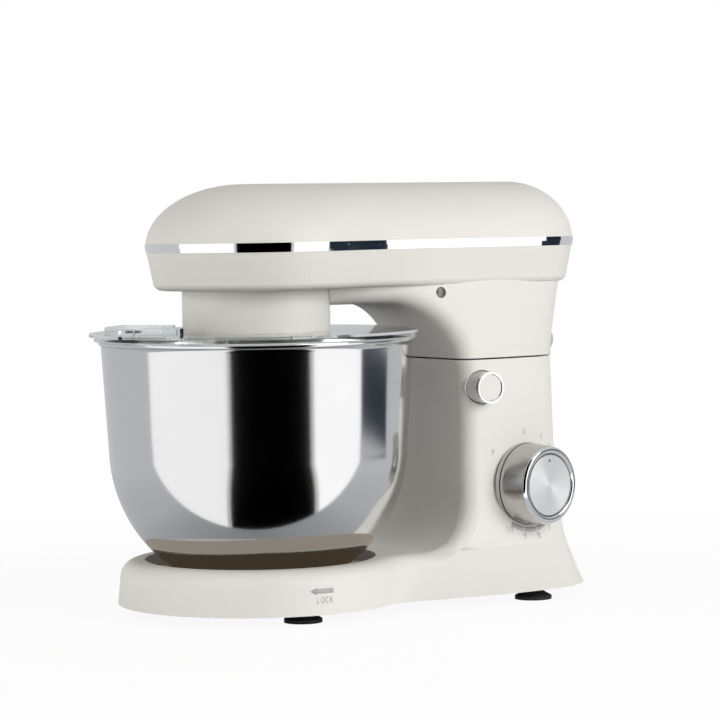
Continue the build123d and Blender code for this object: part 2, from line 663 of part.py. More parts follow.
def release_button():
    """Round push button with its stem."""
    shoulder = BUTTON_FACE_X - BUTTON_RIM_DEPTH
    cap = rod_x(BUTTON_RADIUS, 0, BUTTON_BACK_X, shoulder, BUTTON_Y, BUTTON_Z)
    cap += rod_x(BUTTON_RADIUS - BUTTON_RIM, 0, shoulder, BUTTON_FACE_X - BUTTON_DISH, BUTTON_Y, BUTTON_Z)
    stem = rod_x(STEM_RADIUS, 0, SLIDE_STEM_X, BUTTON_BACK_X, BUTTON_Y, BUTTON_Z)
    return cap + stem


def button_ring():
    """Bright ring round the button's face."""
    inside = BUTTON_RADIUS - BUTTON_RIM + SHAFT_FIT
    ring = rod_x(BUTTON_RADIUS, inside, BUTTON_FACE_X - BUTTON_RIM_DEPTH, BUTTON_FACE_X, BUTTON_Y, BUTTON_Z)
    return chamfer(ring.edges().filter_by(GeomType.CIRCLE).sort_by(Axis.X)[-1], BUTTON_DISH)


def latch_slide():
    """Flat slide on the button's stem, with a window for the latch keeper."""
    half = SLIDE_THICK / 2
    front = BUTTON_Y - STEM_RADIUS
    rear = KEEPER_Y + 4 * KEEPER_THICK
    plate = block(SLIDE_END_X, SLIDE_STEM_X, front, rear, BUTTON_Z - half, BUTTON_Z + half)
    window = block(KEEPER_LEFT - BARB - RUN, KEEPER_RIGHT + BUTTON_TRAVEL + RUN, KEEPER_Y - 3 * KEEPER_THICK,
                   KEEPER_Y + 2 * KEEPER_THICK, -FAR, FAR)
    return plate - window


def button_spring():
    """Return spring between the sleeve's floor and the button, about two and a half turns."""
    radius = STEM_RADIUS + 3 * SPRING_WIRE
    start = SLEEVE_FLOOR_X + SPRING_WIRE / 2 + 2 * SHAFT_FIT
    length = BUTTON_BACK_X - SLEEVE_FLOOR_X - SPRING_WIRE - 4 * SHAFT_FIT
    path = Helix(pitch=length / SPRING_TURNS, height=length, radius=radius)
    section = Plane(origin=path @ 0, z_dir=path % 0) * Rectangle(SPRING_WIRE, SPRING_WIRE)
    coil = sweep(section, path=path)
    return Pos(start, BUTTON_Y, BUTTON_Z) * Rot(0, 90, 0) * coil


# Bowl

def bowl():
    """Spun steel bowl: drafted wall, large lower curve, rolled bead and twist foot with three lugs."""
    lean = math.radians(BOWL_KNEE_LEAN)

    def wall_edges(inset):
        knee = (BOWL_KNEE - inset * math.cos(lean), BOWL_KNEE_HEIGHT + inset * math.sin(lean))
        return [
            Line((BOWL_RADIUS - inset, BOWL_RIM), (BOWL_WAIST - inset, BOWL_WAIST_HEIGHT)),
            ThreePointArc((BOWL_WAIST - inset, BOWL_WAIST_HEIGHT), knee, (BOWL_FLAT, BOWL_BOTTOM + inset)),
            Line((BOWL_FLAT, BOWL_BOTTOM + inset), (0, BOWL_BOTTOM + inset)),
        ]

    outer = wall_edges(0)
    inner = wall_edges(BOWL_WALL)
    closing = [
        Line((BOWL_RADIUS, BOWL_RIM), (BOWL_RADIUS - BOWL_WALL, BOWL_RIM)),
        Line((0, BOWL_BOTTOM), (0, BOWL_BOTTOM + BOWL_WALL)),
    ]
    shell = revolve(Plane.XZ * make_face(outer + inner + closing), Axis.Z)
    bead = revolve(Plane.XZ * Pos(BOWL_RADIUS, BOWL_RIM) * Circle(BEAD), Axis.Z)
    low = SEAT_FLOOR + SEAT_PLATE + RUN
    shell = shell + bead + tube(TWIST_RADIUS, TWIST_RADIUS - TWIST_WALL, low, BOWL_BOTTOM)
    for i in range(LUG_COUNT):
        shell += sector(TWIST_RADIUS + LUG_REACH, TWIST_RADIUS - TWIST_WALL / 2, low, low + LUG_HEIGHT,
                        90 + 360 / LUG_COUNT * i, LUG_ANGLE)
    return shell


# Gears

def involute(angle):
    """Involute function of a pressure angle in radians."""
    return math.tan(angle) - angle


def gear_face(teeth, play, above, below):
    """Plan of a spur gear with involute flanks; tooth heights above and below the pitch line in modules."""
    pitch = GEAR_MODULE * teeth / 2
    pressure = math.radians(PRESSURE_ANGLE)
    base = pitch * math.cos(pressure)
    root = pitch - below * GEAR_MODULE
    tip = pitch + above * GEAR_MODULE
    half_pitch = math.pi / teeth / 2 - play / (2 * pitch)

    def half_angle(radius):
        shown = max(radius, base)
        return half_pitch + involute(pressure) - involute(math.acos(base / shown))

    radii = [root, max(base, root), pitch, tip]
    if base <= root:
        radii = [root, pitch, tip]
    points = []
    for i in range(teeth):
        middle = 2 * math.pi * i / teeth
        rising = [(r, middle - half_angle(r)) for r in radii]
        falling = [(r, middle + half_angle(r)) for r in reversed(radii)]
        points += [(r * math.cos(a), r * math.sin(a)) for r, a in rising + falling]
    return make_face(Polyline(*points, close=True))


def ring_gear():
    """Fixed ring gear in its cup, hung by a flange from the head's floor."""
    high = RING_LOW + RING_FACE
    flange_low = HEAD_BOTTOM - WALL
    cup = tube(RING_OUTER, CARRIER_RADIUS + WALL, high, HEAD_BOTTOM)
    cup += tube(COLLAR_RADIUS - WALL - RUN, CARRIER_RADIUS + WALL, flange_low, HEAD_BOTTOM)
    space = Rot(0, 0, -90) * gear_face(RING_TEETH, -BACKLASH, TOOTH_ROOT, STUB)
    teeth = extrude(Circle(RING_OUTER) - space, RING_FACE)
    return cup + Pos(0, 0, RING_LOW) * teeth


# Head shells

def head_bosses(outer):
    """Posts inside the lower housing that the chassis stands on."""
    posts = []
    for x, y in both_sides(CHASSIS_POSTS):
        posts.append(tube(BOSS_RADIUS, 0, ARM_UNDERSIDE, CHASSIS_LOW, x, y) & outer)
    return posts


def head_lower_housing(dome, dome_inside):
    """Lower half of the head with the arm's belly and neck, open above and below."""
    neck = neck_form(0, 0)
    neck = fillet(throat_seeds(neck, ARM_UNDERSIDE), THROAT_EDGE)
    neck -= tube(COLLAR_RADIUS + RUN, 0, 0, HEAD_BOTTOM)
    hollow = neck_form(WALL, THROAT_WALL)
    hollow -= tube(COLLAR_RADIUS + RUN + WALL, 0, 0, HEAD_BOTTOM + WALL)
    outer = dome + neck
    shell = outer - dome_inside - hollow
    for post in head_bosses(outer):
        shell += post
    shell -= block(-FAR, FAR, -FAR, FAR, TRIM_LOW, FAR)
    shell -= block(-FAR, FAR, -FAR, FAR, 0, SPLIT_HEIGHT + SPLIT_GAP)
    shell -= tube(HUB_RADIUS + 3 * WALL, 0, 0, CHASSIS_LOW)
    shell -= block(-NOTCH_HALF, NOTCH_HALF, HINGE_Y - KNUCKLE_RADIUS, FAR, 0, NOTCH_TOP)
    screw_y, screw_z = NECK_SCREW
    shell -= rod_x(SCREW_HEAD, 0, -FAR, FAR, screw_y, screw_z)
    return shell


def head_trim(dome_inside):
    """Bright strip between the lower housing and the top cover, standing slightly proud."""
    band = head_form(-TRIM_PROUD) - dome_inside
    return band & block(-FAR, FAR, -FAR, FAR, TRIM_LOW, TRIM_HIGH)


def head_top_cover(dome, dome_inside):
    """Domed cover of the head."""
    return (dome - dome_inside) & block(-FAR, FAR, -FAR, FAR, TRIM_HIGH, FAR)


def collar():
    """Round skirt under the nose, with four lugs below that carry the splash guard."""
    skirt = tube(COLLAR_RADIUS, COLLAR_RADIUS - WALL, COLLAR_BOTTOM, HEAD_BOTTOM)
    for i in range(GUARD_LUG_COUNT):
        angle = GUARD_LUG_START + 360 / GUARD_LUG_COUNT * i
        skirt += sector(COLLAR_RADIUS + GUARD_LUG, COLLAR_RADIUS - WALL / 2, COLLAR_BOTTOM, GUARD_UNDER - RUN,
                        angle, GUARD_LUG_ANGLE)
    return skirt


def splash_guard():
    """Clear lid over the bowl: flat ring, skirt, feed opening with lip and upstand, notches for the lugs."""
    lid = tube(GUARD_RADIUS, COLLAR_RADIUS + RUN, GUARD_UNDER, GUARD_TOP)
    lid += tube(SKIRT_RADIUS, SKIRT_RADIUS - GUARD_WALL, GUARD_UNDER - GUARD_SKIRT, GUARD_TOP)
    lid += sector(LIP_RADIUS, FEED_OUTER, GUARD_UNDER, GUARD_TOP, FEED_ANGLE, FEED_WIDTH)
    lid += sector(FEED_OUTER + GUARD_WALL, FEED_INNER - GUARD_WALL, GUARD_UNDER, GUARD_TOP + 2 * GUARD_WALL,
                  FEED_ANGLE, FEED_WIDTH + 2 * GUARD_WALL)
    lid -= sector(FEED_OUTER, FEED_INNER, 0, FAR, FEED_ANGLE, FEED_WIDTH)
    reach = COLLAR_RADIUS + GUARD_LUG + RUN
    for i in range(GUARD_LUG_COUNT):
        notch = GUARD_LUG_START + GUARD_TWIST + 360 / GUARD_LUG_COUNT * i
        lid -= sector(reach, COLLAR_RADIUS - RUN, 0, FAR, notch, GUARD_LUG_ANGLE + GUARD_LUG)
    return lid


# Head frame and motor

def chassis():
    """Cast plate that carries the shafts, with a ring at its rear that clamps the motor."""
    plan = Circle(CHASSIS_NOSE) + Pos(0, MOTOR_Y / 2) * Rectangle(2 * CHASSIS_HALF, MOTOR_Y)
    plan += Pos(0, MOTOR_Y) * Circle(CHASSIS_HALF)
    plan -= Pos(0, MOTOR_Y) * Circle(MOTOR_RADIUS + SHAFT_FIT)
    plan -= Circle(SHAFT_RADIUS + BUSH_WALL + SHAFT_FIT)
    plan -= Pos(0, LAY_Y) * Circle(LAY_SHAFT + BUSH_WALL + SHAFT_FIT)
    plate = Pos(0, 0, CHASSIS_LOW) * extrude(plan, CHASSIS)
    for x, y in both_sides(BRIDGE_POSTS):
        plate += tube(BOSS_RADIUS, 0, CHASSIS_LOW, BRIDGE_LOW, x, y)
    return plate


def bearing_bridge():
    """Plate above the gears that holds the upper ends of the two shafts."""
    reach_y = max(y for x, y in BRIDGE_POSTS) + BOSS_RADIUS
    reach_x = max(x for x, y in BRIDGE_POSTS) + BOSS_RADIUS
    low_y = -SHAFT_RADIUS - 4 * BUSH_WALL
    plan = Pos(0, (reach_y + low_y) / 2) * RectangleRounded(2 * reach_x, reach_y - low_y, BOSS_RADIUS)
    plan -= Circle(SHAFT_RADIUS + BUSH_WALL + SHAFT_FIT)
    plan -= Pos(0, LAY_Y) * Circle(LAY_SHAFT + BUSH_WALL + SHAFT_FIT)
    return Pos(0, 0, BRIDGE_LOW) * extrude(plan, BRIDGE)


def bushes():
    """Four flanged bronze bushes of the main shaft and the layshaft."""
    made = []
    for radius, y in ((SHAFT_RADIUS, 0), (LAY_SHAFT, LAY_Y)):
        for low, thick in ((CHASSIS_LOW, CHASSIS), (BRIDGE_LOW, BRIDGE)):
            bore = radius + SHAFT_FIT
            high = low + thick
            sleeve = tube(radius + BUSH_WALL, bore, low, high, 0, y)
            flange = tube(radius + 2 * BUSH_WALL, bore, high, high + BUSH_FLANGE, 0, y)
            made.append(sleeve + flange)
    return Compound(children=made)


def motor_can():
    """Motor housing: can with cooling slots, clamp flange and two bearing ends."""
    inside = MOTOR_RADIUS - CAN_WALL
    seat = CHASSIS_LOW + CHASSIS
    can = tube(MOTOR_RADIUS, inside, MOTOR_LOW, MOTOR_HIGH, 0, MOTOR_Y)
    can += tube(CHASSIS_HALF - CAN_WALL, inside, seat, seat + CAN_WALL, 0, MOTOR_Y)
    for low in (MOTOR_LOW, MOTOR_HIGH - CAN_WALL):
        can += tube(MOTOR_RADIUS, MOTOR_SHAFT + SHAFT_FIT, low, low + CAN_WALL, 0, MOTOR_Y)
    slot_low = MOTOR_LOW + 2 * CAN_WALL
    for i in range(CAN_SLOTS):
        slot = block(-CAN_SLOT / 2, CAN_SLOT / 2, ROTOR_RADIUS, FAR, slot_low, slot_low + CAN_SLOT)
        can -= Pos(0, MOTOR_Y, 0) * Rot(0, 0, 360 / CAN_SLOTS * i) * slot
    return can


def field_magnets():
    """Two field magnets inside the can."""
    outside = MOTOR_RADIUS - CAN_WALL - SHAFT_FIT
    inside = ROTOR_RADIUS + 3 * RUN
    arcs = []
    for angle in (0, 180):
        arc = sector(outside, inside, MAGNET_LOW, MAGNET_HIGH, angle, MAGNET_ANGLE)
        arcs.append(Pos(0, MOTOR_Y, 0) * arc)
    return Compound(children=arcs)


def motor_rotor():
    """Armature: shaft, slotted core and commutator."""
    rotor = tube(MOTOR_SHAFT, 0, MOTOR_LOW - 2 * CAN_WALL, PULLEY_LOW + PULLEY + CAN_WALL, 0, MOTOR_Y)
    core = Circle(ROTOR_RADIUS)
    for i in range(ROTOR_SLOTS):
        slot = Pos(ROTOR_RADIUS, 0) * Rectangle(ROTOR_RADIUS / 2, MOTOR_SHAFT)
        core -= Rot(0, 0, 360 / ROTOR_SLOTS * i) * slot
    rotor += Pos(0, MOTOR_Y, CORE_LOW) * extrude(core, CORE_HIGH - CORE_LOW)
    return rotor + tube(COMMUTATOR, 0, MOTOR_LOW + 2 * CAN_WALL, CORE_LOW - CAN_WALL, 0, MOTOR_Y)


def cooling_fan():
    """Radial fan on the motor shaft above the can."""
    low = MOTOR_HIGH + WALL
    fan = tube(FAN_RADIUS, MOTOR_SHAFT + SHAFT_FIT, low, low + FAN_SHEET, 0, MOTOR_Y)
    fan += tube(2 * MOTOR_SHAFT, MOTOR_SHAFT + SHAFT_FIT, low, low + FAN_BLADE, 0, MOTOR_Y)
    for i in range(FAN_BLADES):
        blade = block(FAN_EYE, FAN_RADIUS, -FAN_SHEET / 2, FAN_SHEET / 2, 0, FAN_BLADE)
        fan += Pos(0, MOTOR_Y, low) * Rot(0, 0, 360 / FAN_BLADES * i) * blade
    return fan


def belt_pulley(radius, bore, y):
    """Flat belt pulley with a flange below the belt."""
    high = PULLEY_LOW + PULLEY
    pulley = tube(radius, bore, PULLEY_LOW, high, 0, y)
    pulley += tube(radius + BELT, bore, PULLEY_LOW - PULLEY_FLANGE, PULLEY_LOW, 0, y)
    return pulley


def drive_belt():
    """Flat belt loop round the two pulleys, with a running gap to both."""
    reach = MOTOR_Y - LAY_Y

    def loop(grow):
        big = LAY_PULLEY + grow
        small = MOTOR_PULLEY + grow
        tilt = math.acos((big - small) / reach)
        ends = []
        for side in (1, -1):
            c, s = math.cos(tilt), side * math.sin(tilt)
            ends.append(((big * s, LAY_Y + big * c), (small * s, MOTOR_Y + small * c)))
        (big_a, small_a), (big_b, small_b) = ends
        return make_face([
            Line(big_a, small_a),
            ThreePointArc(small_a, (0, MOTOR_Y + small), small_b),
            Line(small_b, big_b),
            ThreePointArc(big_b, (0, LAY_Y - big), big_a),
        ])

    ring = loop(RUN / 4 + BELT) - loop(RUN / 4)
    return Pos(0, 0, PULLEY_LOW + RUN) * extrude(ring, PULLEY - 2 * RUN)


def hinge_yoke():
    """Two ears below the chassis that turn on the hinge pin."""
    ears = []
    for side in (1, -1):
        start = KNUCKLE_HALF + RUN
        low = side * start
        high = side * (start + YOKE_WALL)
        ear = rod_x(YOKE_RADIUS, 0, min(low, high), max(low, high), HINGE_Y, HINGE_Z)
        ear += block(min(low, high), max(low, high), HINGE_Y - YOKE_RADIUS, HINGE_Y, HINGE_Z, CHASSIS_LOW)
        ears.append(ear - rod_x(PIN_RADIUS + SHAFT_FIT, 0, -FAR, FAR, HINGE_Y, HINGE_Z))
    return Compound(children=ears)


def latch_keeper():
    """Bent strip from the chassis down through the pillar's deck, with a barb below the latch slide."""
    bottom = BUTTON_Z - 3 * SLIDE_THICK
    under = BUTTON_Z - SLIDE_THICK / 2 - RUN
    jog = MOTOR_LOW - 2 * KEEPER_THICK
    front = MOTOR_Y - MOTOR_RADIUS - KEEPER_THICK - 3 * RUN
    strip = block(KEEPER_LEFT, KEEPER_RIGHT, KEEPER_Y, KEEPER_Y + KEEPER_THICK, bottom, jog)
    strip += block(KEEPER_LEFT, KEEPER_RIGHT, front, KEEPER_Y + KEEPER_THICK, jog - KEEPER_THICK, jog)
    strip += block(KEEPER_LEFT, KEEPER_RIGHT, front, front + KEEPER_THICK, jog - KEEPER_THICK, CHASSIS_LOW)
    return strip + block(KEEPER_LEFT - BARB, KEEPER_LEFT, KEEPER_Y, KEEPER_Y + KEEPER_THICK, bottom, under)


# Gear train that turns

def layshaft():
    """Layshaft with its cut pinion."""
    shaft = tube(LAY_SHAFT, 0, CHASSIS_LOW - SHAFT_END, PULLEY_LOW + PULLEY + SHAFT_END, 0, LAY_Y)
    pinion = Rot(0, 0, 90 + 180 / LAY_TEETH) * gear_face(LAY_TEETH, BACKLASH, STUB, TOOTH_ROOT)
    return shaft + Pos(0, LAY_Y, GEAR_LOW - SHAFT_END) * extrude(pinion, GEAR_FACE + 2 * SHAFT_END)


def main_gear():
    """Large spur wheel on the main shaft, lightened by round holes."""
    wheel = Rot(0, 0, 90) * gear_face(MAIN_TEETH, BACKLASH, STUB, TOOTH_ROOT)
    face = wheel - Circle(SHAFT_RADIUS + SHAFT_FIT)
    for i in range(WEB_HOLES):
        face -= Rot(0, 0, 360 / WEB_HOLES * i) * Pos(WEB_CIRCLE, 0) * Circle(WEB_HOLE)
    return Pos(0, 0, GEAR_LOW) * extrude(face, GEAR_FACE)


def main_shaft():
    """Upright shaft from the planet carrier to the bridge."""
    return tube(SHAFT_RADIUS, 0, CARRIER_LOW + CARRIER, BRIDGE_LOW + BRIDGE + 2 * SHAFT_END)


def planet_carrier():
    """Disc and hub that carry the spindle round the bowl's axis."""
    disc = tube(CARRIER_RADIUS, 0, CARRIER_LOW, CARRIER_LOW + CARRIER)
    disc += tube(HUB_RADIUS, 0, COLLAR_BOTTOM + WALL, CARRIER_LOW)
    return disc - tube(SHAFT_RADIUS + SHAFT_FIT, 0, 0, FAR, 0, -ORBIT)


def planet_cover():
    """Dish below the carrier that closes the collar."""
    dish = tube(COVER_RADIUS, 0, COLLAR_BOTTOM, COLLAR_BOTTOM + WALL)
    return dish - tube(SHAFT_RADIUS + RUN, 0, 0, FAR, 0, -ORBIT)


def spindle():
    """Tool spindle with its cut pinion and a head above the carrier."""
    head_low = CARRIER_LOW + CARRIER + RUN
    shaft = tube(SHAFT_RADIUS, 0, SPINDLE_BOTTOM, head_low, 0, -ORBIT)
    shaft += tube(SHAFT_RADIUS + SPINDLE_HEAD, 0, head_low, CARRIER_LOW + CARRIER + SPINDLE_HEAD, 0, -ORBIT)
    pinion = Rot(0, 0, -90) * gear_face(PINION_TEETH, BACKLASH, STUB, TOOTH_ROOT)
    shaft += Pos(0, -ORBIT, RING_LOW) * extrude(pinion, RING_FACE)
    return shaft - rod_x(DRIVE_PIN, 0, -FAR, FAR, -ORBIT, DRIVE_PIN_Z)


def drive_pin():
    """Cross pin of the spindle that drives the beater."""
    return rod_x(DRIVE_PIN - SHAFT_FIT, 0, -DRIVE_PIN_HALF, DRIVE_PIN_HALF, -ORBIT, DRIVE_PIN_Z)


def beater():
    """Flat beater: oval frame, spine, two ribs and a hub with the slot for the drive pin."""
    middle = (BEATER_LOW + BEATER_HIGH) / 2
    tall = (BEATER_HIGH - BEATER_LOW) / 2
    ring = Ellipse(BEATER_HALF, tall) - Ellipse(BEATER_HALF - BEATER_BAR, tall - BEATER_BAR)
    frame = Pos(0, middle) * ring
    inside = Pos(0, middle) * Ellipse(BEATER_HALF - RUN, tall - RUN)
    bars = Pos(0, middle) * Rectangle(BEATER_BAR, 2 * tall)
    for lean in (BEATER_LEAN, -BEATER_LEAN):
        bars += Pos(0, middle) * Rot(0, 0, lean) * Rectangle(2 * BEATER_HALF, BEATER_RIB)
    plan = frame + (bars & inside)
    blade = Pos(0, -ORBIT, 0) * extrude(Plane.YZ.offset(-BEATER_THICK / 2) * plan, BEATER_THICK)
    top = DRIVE_PIN_Z + 2 * DRIVE_PIN
    hub = tube(BEATER_HUB, 0, BEATER_HIGH - BEATER_THICK / 2, top, 0, -ORBIT)
    hub -= tube(SHAFT_RADIUS + SHAFT_FIT, 0, SPINDLE_BOTTOM - RUN, FAR, 0, -ORBIT)
    slot = DRIVE_PIN + SHAFT_FIT
    hub -= block(-FAR, FAR, -ORBIT - slot, -ORBIT + slot, DRIVE_PIN_Z - DRIVE_PIN, FAR)
    return blade + hub


def placed(piece):
    """Piece moved home solid by solid, so that a group of loose solids moves too."""
    solids = [HOME * solid for solid in piece.solids()]
    return solids[0] if len(solids) == 1 else Compound(children=solids)


def main():
    """Build every piece and write it under its own name."""
    dome = head_form(0)
    dome_inside = head_form(WALL)
    motor_bore = MOTOR_SHAFT + SHAFT_FIT
    lay_bore = LAY_SHAFT + SHAFT_FIT
    pieces = {
        "base_housing": base_housing(),
        "bottom_plate": bottom_plate(),
        "bottom_screws": bottom_screws(),
        "foot_front_right": suction_foot(FOOT_SIDE, FOOT_FRONT),
        "foot_front_left": suction_foot(-FOOT_SIDE, FOOT_FRONT),
        "foot_rear_right": suction_foot(FOOT_SIDE, FOOT_REAR),
        "foot_rear_left": suction_foot(-FOOT_SIDE, FOOT_REAR),
        "seat_plate": seat_plate(),
        "hinge_bracket": hinge_bracket(),
        "hinge_pin": hinge_pin(),
        "dial_bezel": dial_bezel(),
        "speed_switch": speed_switch(),
        "control_board": control_board(),
        "board_posts": board_posts(),
        "cord_inlet": cord_inlet(),
        "button_sleeve": button_sleeve(),
        "dial_knob": dial_knob(),
        "dial_face": dial_face(),
        "release_button": release_button(),
        "button_ring": button_ring(),
        "latch_slide": latch_slide(),
        "button_spring": button_spring(),
        "bowl": bowl(),
        "head_lower_housing": head_lower_housing(dome, dome_inside),
        "head_trim": head_trim(dome_inside),
        "head_top_cover": head_top_cover(dome, dome_inside),
        "collar": collar(),
        "splash_guard": splash_guard(),
        "chassis": chassis(),
        "bearing_bridge": bearing_bridge(),
        "bushes": bushes(),
        "ring_gear": ring_gear(),
        "hinge_yoke": hinge_yoke(),
        "latch_keeper": latch_keeper(),
        "motor_can": motor_can(),
        "field_magnets": field_magnets(),
        "motor_rotor": motor_rotor(),
        "cooling_fan": cooling_fan(),
        "motor_pulley": belt_pulley(MOTOR_PULLEY, motor_bore, MOTOR_Y),
        "drive_belt": drive_belt(),
        "layshaft": layshaft(),
        "belt_pulley": belt_pulley(LAY_PULLEY, lay_bore, LAY_Y),
        "main_gear": main_gear(),
        "main_shaft": main_shaft(),
        "planet_carrier": planet_carrier(),
        "planet_cover": planet_cover(),
        "spindle": spindle(),
        "drive_pin": drive_pin(),
        "beater": beater(),
    }
    os.makedirs("parts", exist_ok=True)
    for name, piece in pieces.items():
        export_step(placed(piece), f"parts/{name}.step")


if __name__ == "__main__":
    main()
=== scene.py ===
import json
import math

import bmesh
import bpy
import numpy as np
from mathutils import Matrix, Vector


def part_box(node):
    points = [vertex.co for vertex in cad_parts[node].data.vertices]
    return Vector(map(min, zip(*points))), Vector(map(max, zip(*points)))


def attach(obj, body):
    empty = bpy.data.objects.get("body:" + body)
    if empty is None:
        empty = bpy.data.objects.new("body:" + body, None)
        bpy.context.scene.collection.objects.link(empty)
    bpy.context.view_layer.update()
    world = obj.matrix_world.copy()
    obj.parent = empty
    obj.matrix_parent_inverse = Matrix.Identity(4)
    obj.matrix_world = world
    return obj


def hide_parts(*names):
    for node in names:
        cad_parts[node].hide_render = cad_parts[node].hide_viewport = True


# Stand mixer: looks only. Metres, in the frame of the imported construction.
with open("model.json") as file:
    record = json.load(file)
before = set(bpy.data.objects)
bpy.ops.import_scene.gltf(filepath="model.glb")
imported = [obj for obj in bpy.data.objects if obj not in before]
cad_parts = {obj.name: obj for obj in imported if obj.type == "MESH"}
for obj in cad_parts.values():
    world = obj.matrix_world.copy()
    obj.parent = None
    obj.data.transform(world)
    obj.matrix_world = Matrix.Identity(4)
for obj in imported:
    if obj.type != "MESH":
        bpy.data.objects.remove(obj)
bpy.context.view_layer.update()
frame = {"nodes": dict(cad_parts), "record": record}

MM = 0.001
BOWL_LOW, BOWL_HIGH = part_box("bowl")
AXIS_Y = (BOWL_LOW[1] + BOWL_HIGH[1]) / 2       # the bowl's upright axis

# Bowl profile
BEAD = 2.0 * MM
BEAD_END = 1.15 * math.pi                       # where the rolled bead ends on the bowl's inside
BOWL_RIM = BOWL_HIGH[2] - BEAD                  # height of the bead's middle
BOWL_RADIUS = BOWL_HIGH[0] - BEAD
BOWL_WAIST = 107.0 * MM                         # radius and height where the wall starts to curve in
BOWL_WAIST_HEIGHT = 115.0 * MM
BOWL_KNEE = 93.0 * MM                           # a point halfway down the lower curve
BOWL_KNEE_HEIGHT = 66.0 * MM
BOWL_FLAT = 66.0 * MM                           # radius of the flat bottom
BOWL_BOTTOM = 35.0 * MM
BOWL_WALL = 1.0 * MM
TWIST_RADIUS = 48.0 * MM
TWIST_WALL = 4.0 * MM
LUG_REACH = 8.0 * MM
LUG_HEIGHT = 1.6 * MM
LUG_ANGLE = math.radians(22.0)
LUG_COUNT = 3
BOWL_STEPS = 288                                # steps round the bowl and round its foot
FOOT_STEPS = 96
LUG_STEPS = 9
CURVE_STEPS = 60                                # points along the lower curve, the wall, the bead, the bottom
WALL_STEPS = 30
BEAD_STEPS = 28
BOTTOM_STEPS = 8

# Dial on the pillar's side
DIAL_TURN = math.radians(11.0)
DIAL_CENTRE = Vector((55.0 * MM, AXIS_Y + 198.0 * MM, 83.0 * MM))
DIAL_OUT = Vector((math.cos(DIAL_TURN), math.sin(DIAL_TURN), 0.0))
DIAL_ACROSS = Vector((-math.sin(DIAL_TURN), math.cos(DIAL_TURN), 0.0))
DIAL_UP = Vector((0.0, 0.0, 1.0))
DIAL_RADIUS = 30.0 * MM
DIAL_FRONT = 28.3 * MM
DIAL_FACE = 22.5 * MM
DIAL_START = 0.2 * MM
DIAL_END = 23.5 * MM
DIAL_SHAFT = 3.0 * MM
DIAL_SHAFT_END = -14.6 * MM
DIAL_BAND = 3.0 * MM                            # straight band at the foot of the knob's skirt
DIAL_CHAMFER = 1.5 * MM
DIAL_DISH = 2.0 * MM                            # depth of the dish in the knob's front
FACE_THICK = 1.2 * MM
FACE_GAP = 0.4 * MM
DOT_RADIUS = 1.0 * MM
DOT_TOP = 0.8 * DOT_RADIUS
DOT_PLACE = 0.8 * DIAL_FACE                     # the pointer dot above the dial's middle
SKIRT_ROUND = 0.8 * MM                          # rounded corners of the skirt and of the bright ring
RING_ROUND = 1.2 * MM
RING_CORNER_STEPS = 9
DIAL_STEPS = 160
DOT_STEPS = 24
FACE_CIRCLES = 25

# Printed marks: the dial's numbers and growing scale, and the arrow and word for locking the bowl
MARK_PROUD = 0.1 * MM                           # ink above the housing
MARK_THICK = 0.06 * MM
SCALE_INNER = 32.0 * MM
SCALE_START = 0.6 * MM                          # width of the scale at 1 and at 10
SCALE_END = 3.8 * MM
SCALE_GAP = 1.0                                 # degrees left free on each side of a number
SCALE_STEPS = 14
NUMBERS = 10
FIRST_NUMBER = 28.0                             # clockwise degrees from the top to 1 and to 10
LAST_NUMBER = 214.0
PULSE_TURN = -50.0
LABEL_RADIUS = 38.5 * MM
LABEL_HEIGHT = 4.4 * MM
STROKE = 0.55 * MM
GLYPH_PITCH = 0.78                              # step from one letter to the next, in letter heights
GLYPH_MIDDLE = (0.28, 0.5)
ARC_POINTS = 28
RUN_POINTS = 10
BASE_RADIUS = 102.5 * MM
BASE_DRAFT = 3.0 / 31.0                         # the round base draws in by this much of its height
BASE_BOTTOM = 8.0 * MM
ARROW_POINT = math.radians(-11.5)               # turns round the bowl's axis from the dial's side
ARROW_TAIL = math.radians(-1.3)
ARROW_HEIGHT = 24.6 * MM
ARROW_HEAD = 2.4 * MM                           # half widths of the arrow's head and shaft
ARROW_SHAFT = 1.6 * MM
WORD_TURN = math.radians(-5.3)
WORD_HEIGHT = 18.4 * MM
WORD_SIZE = 4.3 * MM

# Camera: a long lens far away, as in the photo
LENS = 150.0
SENSOR = 36.0
CAMERA_TURN = math.radians(57.0)
CAMERA_PLACE = Vector((1843.3 * MM, AXIS_Y - 1107.3 * MM, 284.0 * MM))
CAMERA_PITCH = math.radians(2.789)
CAMERA_ROLL = math.radians(-0.9)
CAMERA_TRIM = math.radians(0.039)               # turns the middle of the picture to its place

MERGE = 1e-7                                    # points nearer than this are one point

BLACK = (0.0, 0.0, 0.0)
WHITE = (1.0, 1.0, 1.0)

# Surrounding, as soft light and as seen in bright metal
SOFT_LIGHT = (0.33, 0.31, 0.275)
IN_METAL = (0.62, 0.63, 0.64)

# Lamps: name, place, size and power
LAMP_TARGET = (0.0, 0.0, 0.15)
LAMPS = (
    ("lamp_right", (1.9, 0.6, 0.8), 1.4, 34.0),
    ("lamp_left", (-0.5, -2.1, 0.4), 1.4, 24.0),
    ("lamp_top", (-0.2, 0.2, 2.2), 1.6, 2.5),
)

# Clouds, wear and relief of the plastics and metals
PLASTIC_CLOUDS = 14.0
PLASTIC_WEAR = 55.0
PLASTIC_RELIEF = 0.25
METAL_CLOUDS = 30.0
METAL_WEAR = 120.0
METAL_RELIEF = 0.1
STEEL_CLOUDS = 18.0
STEEL_LINES = 5200.0
FACE_LINES = 90.0
LID_CLOUDS = 40.0

# Floor round the object: solid near it, gone further away
FLOOR_HALF = 6.0
FLOOR_TONE = (0.85, 0.85, 0.85)
FLOOR_SOLID = 0.32
FLOOR_END = 0.75
FLOOR_GLOW = 0.93                               # share of the floor's own white

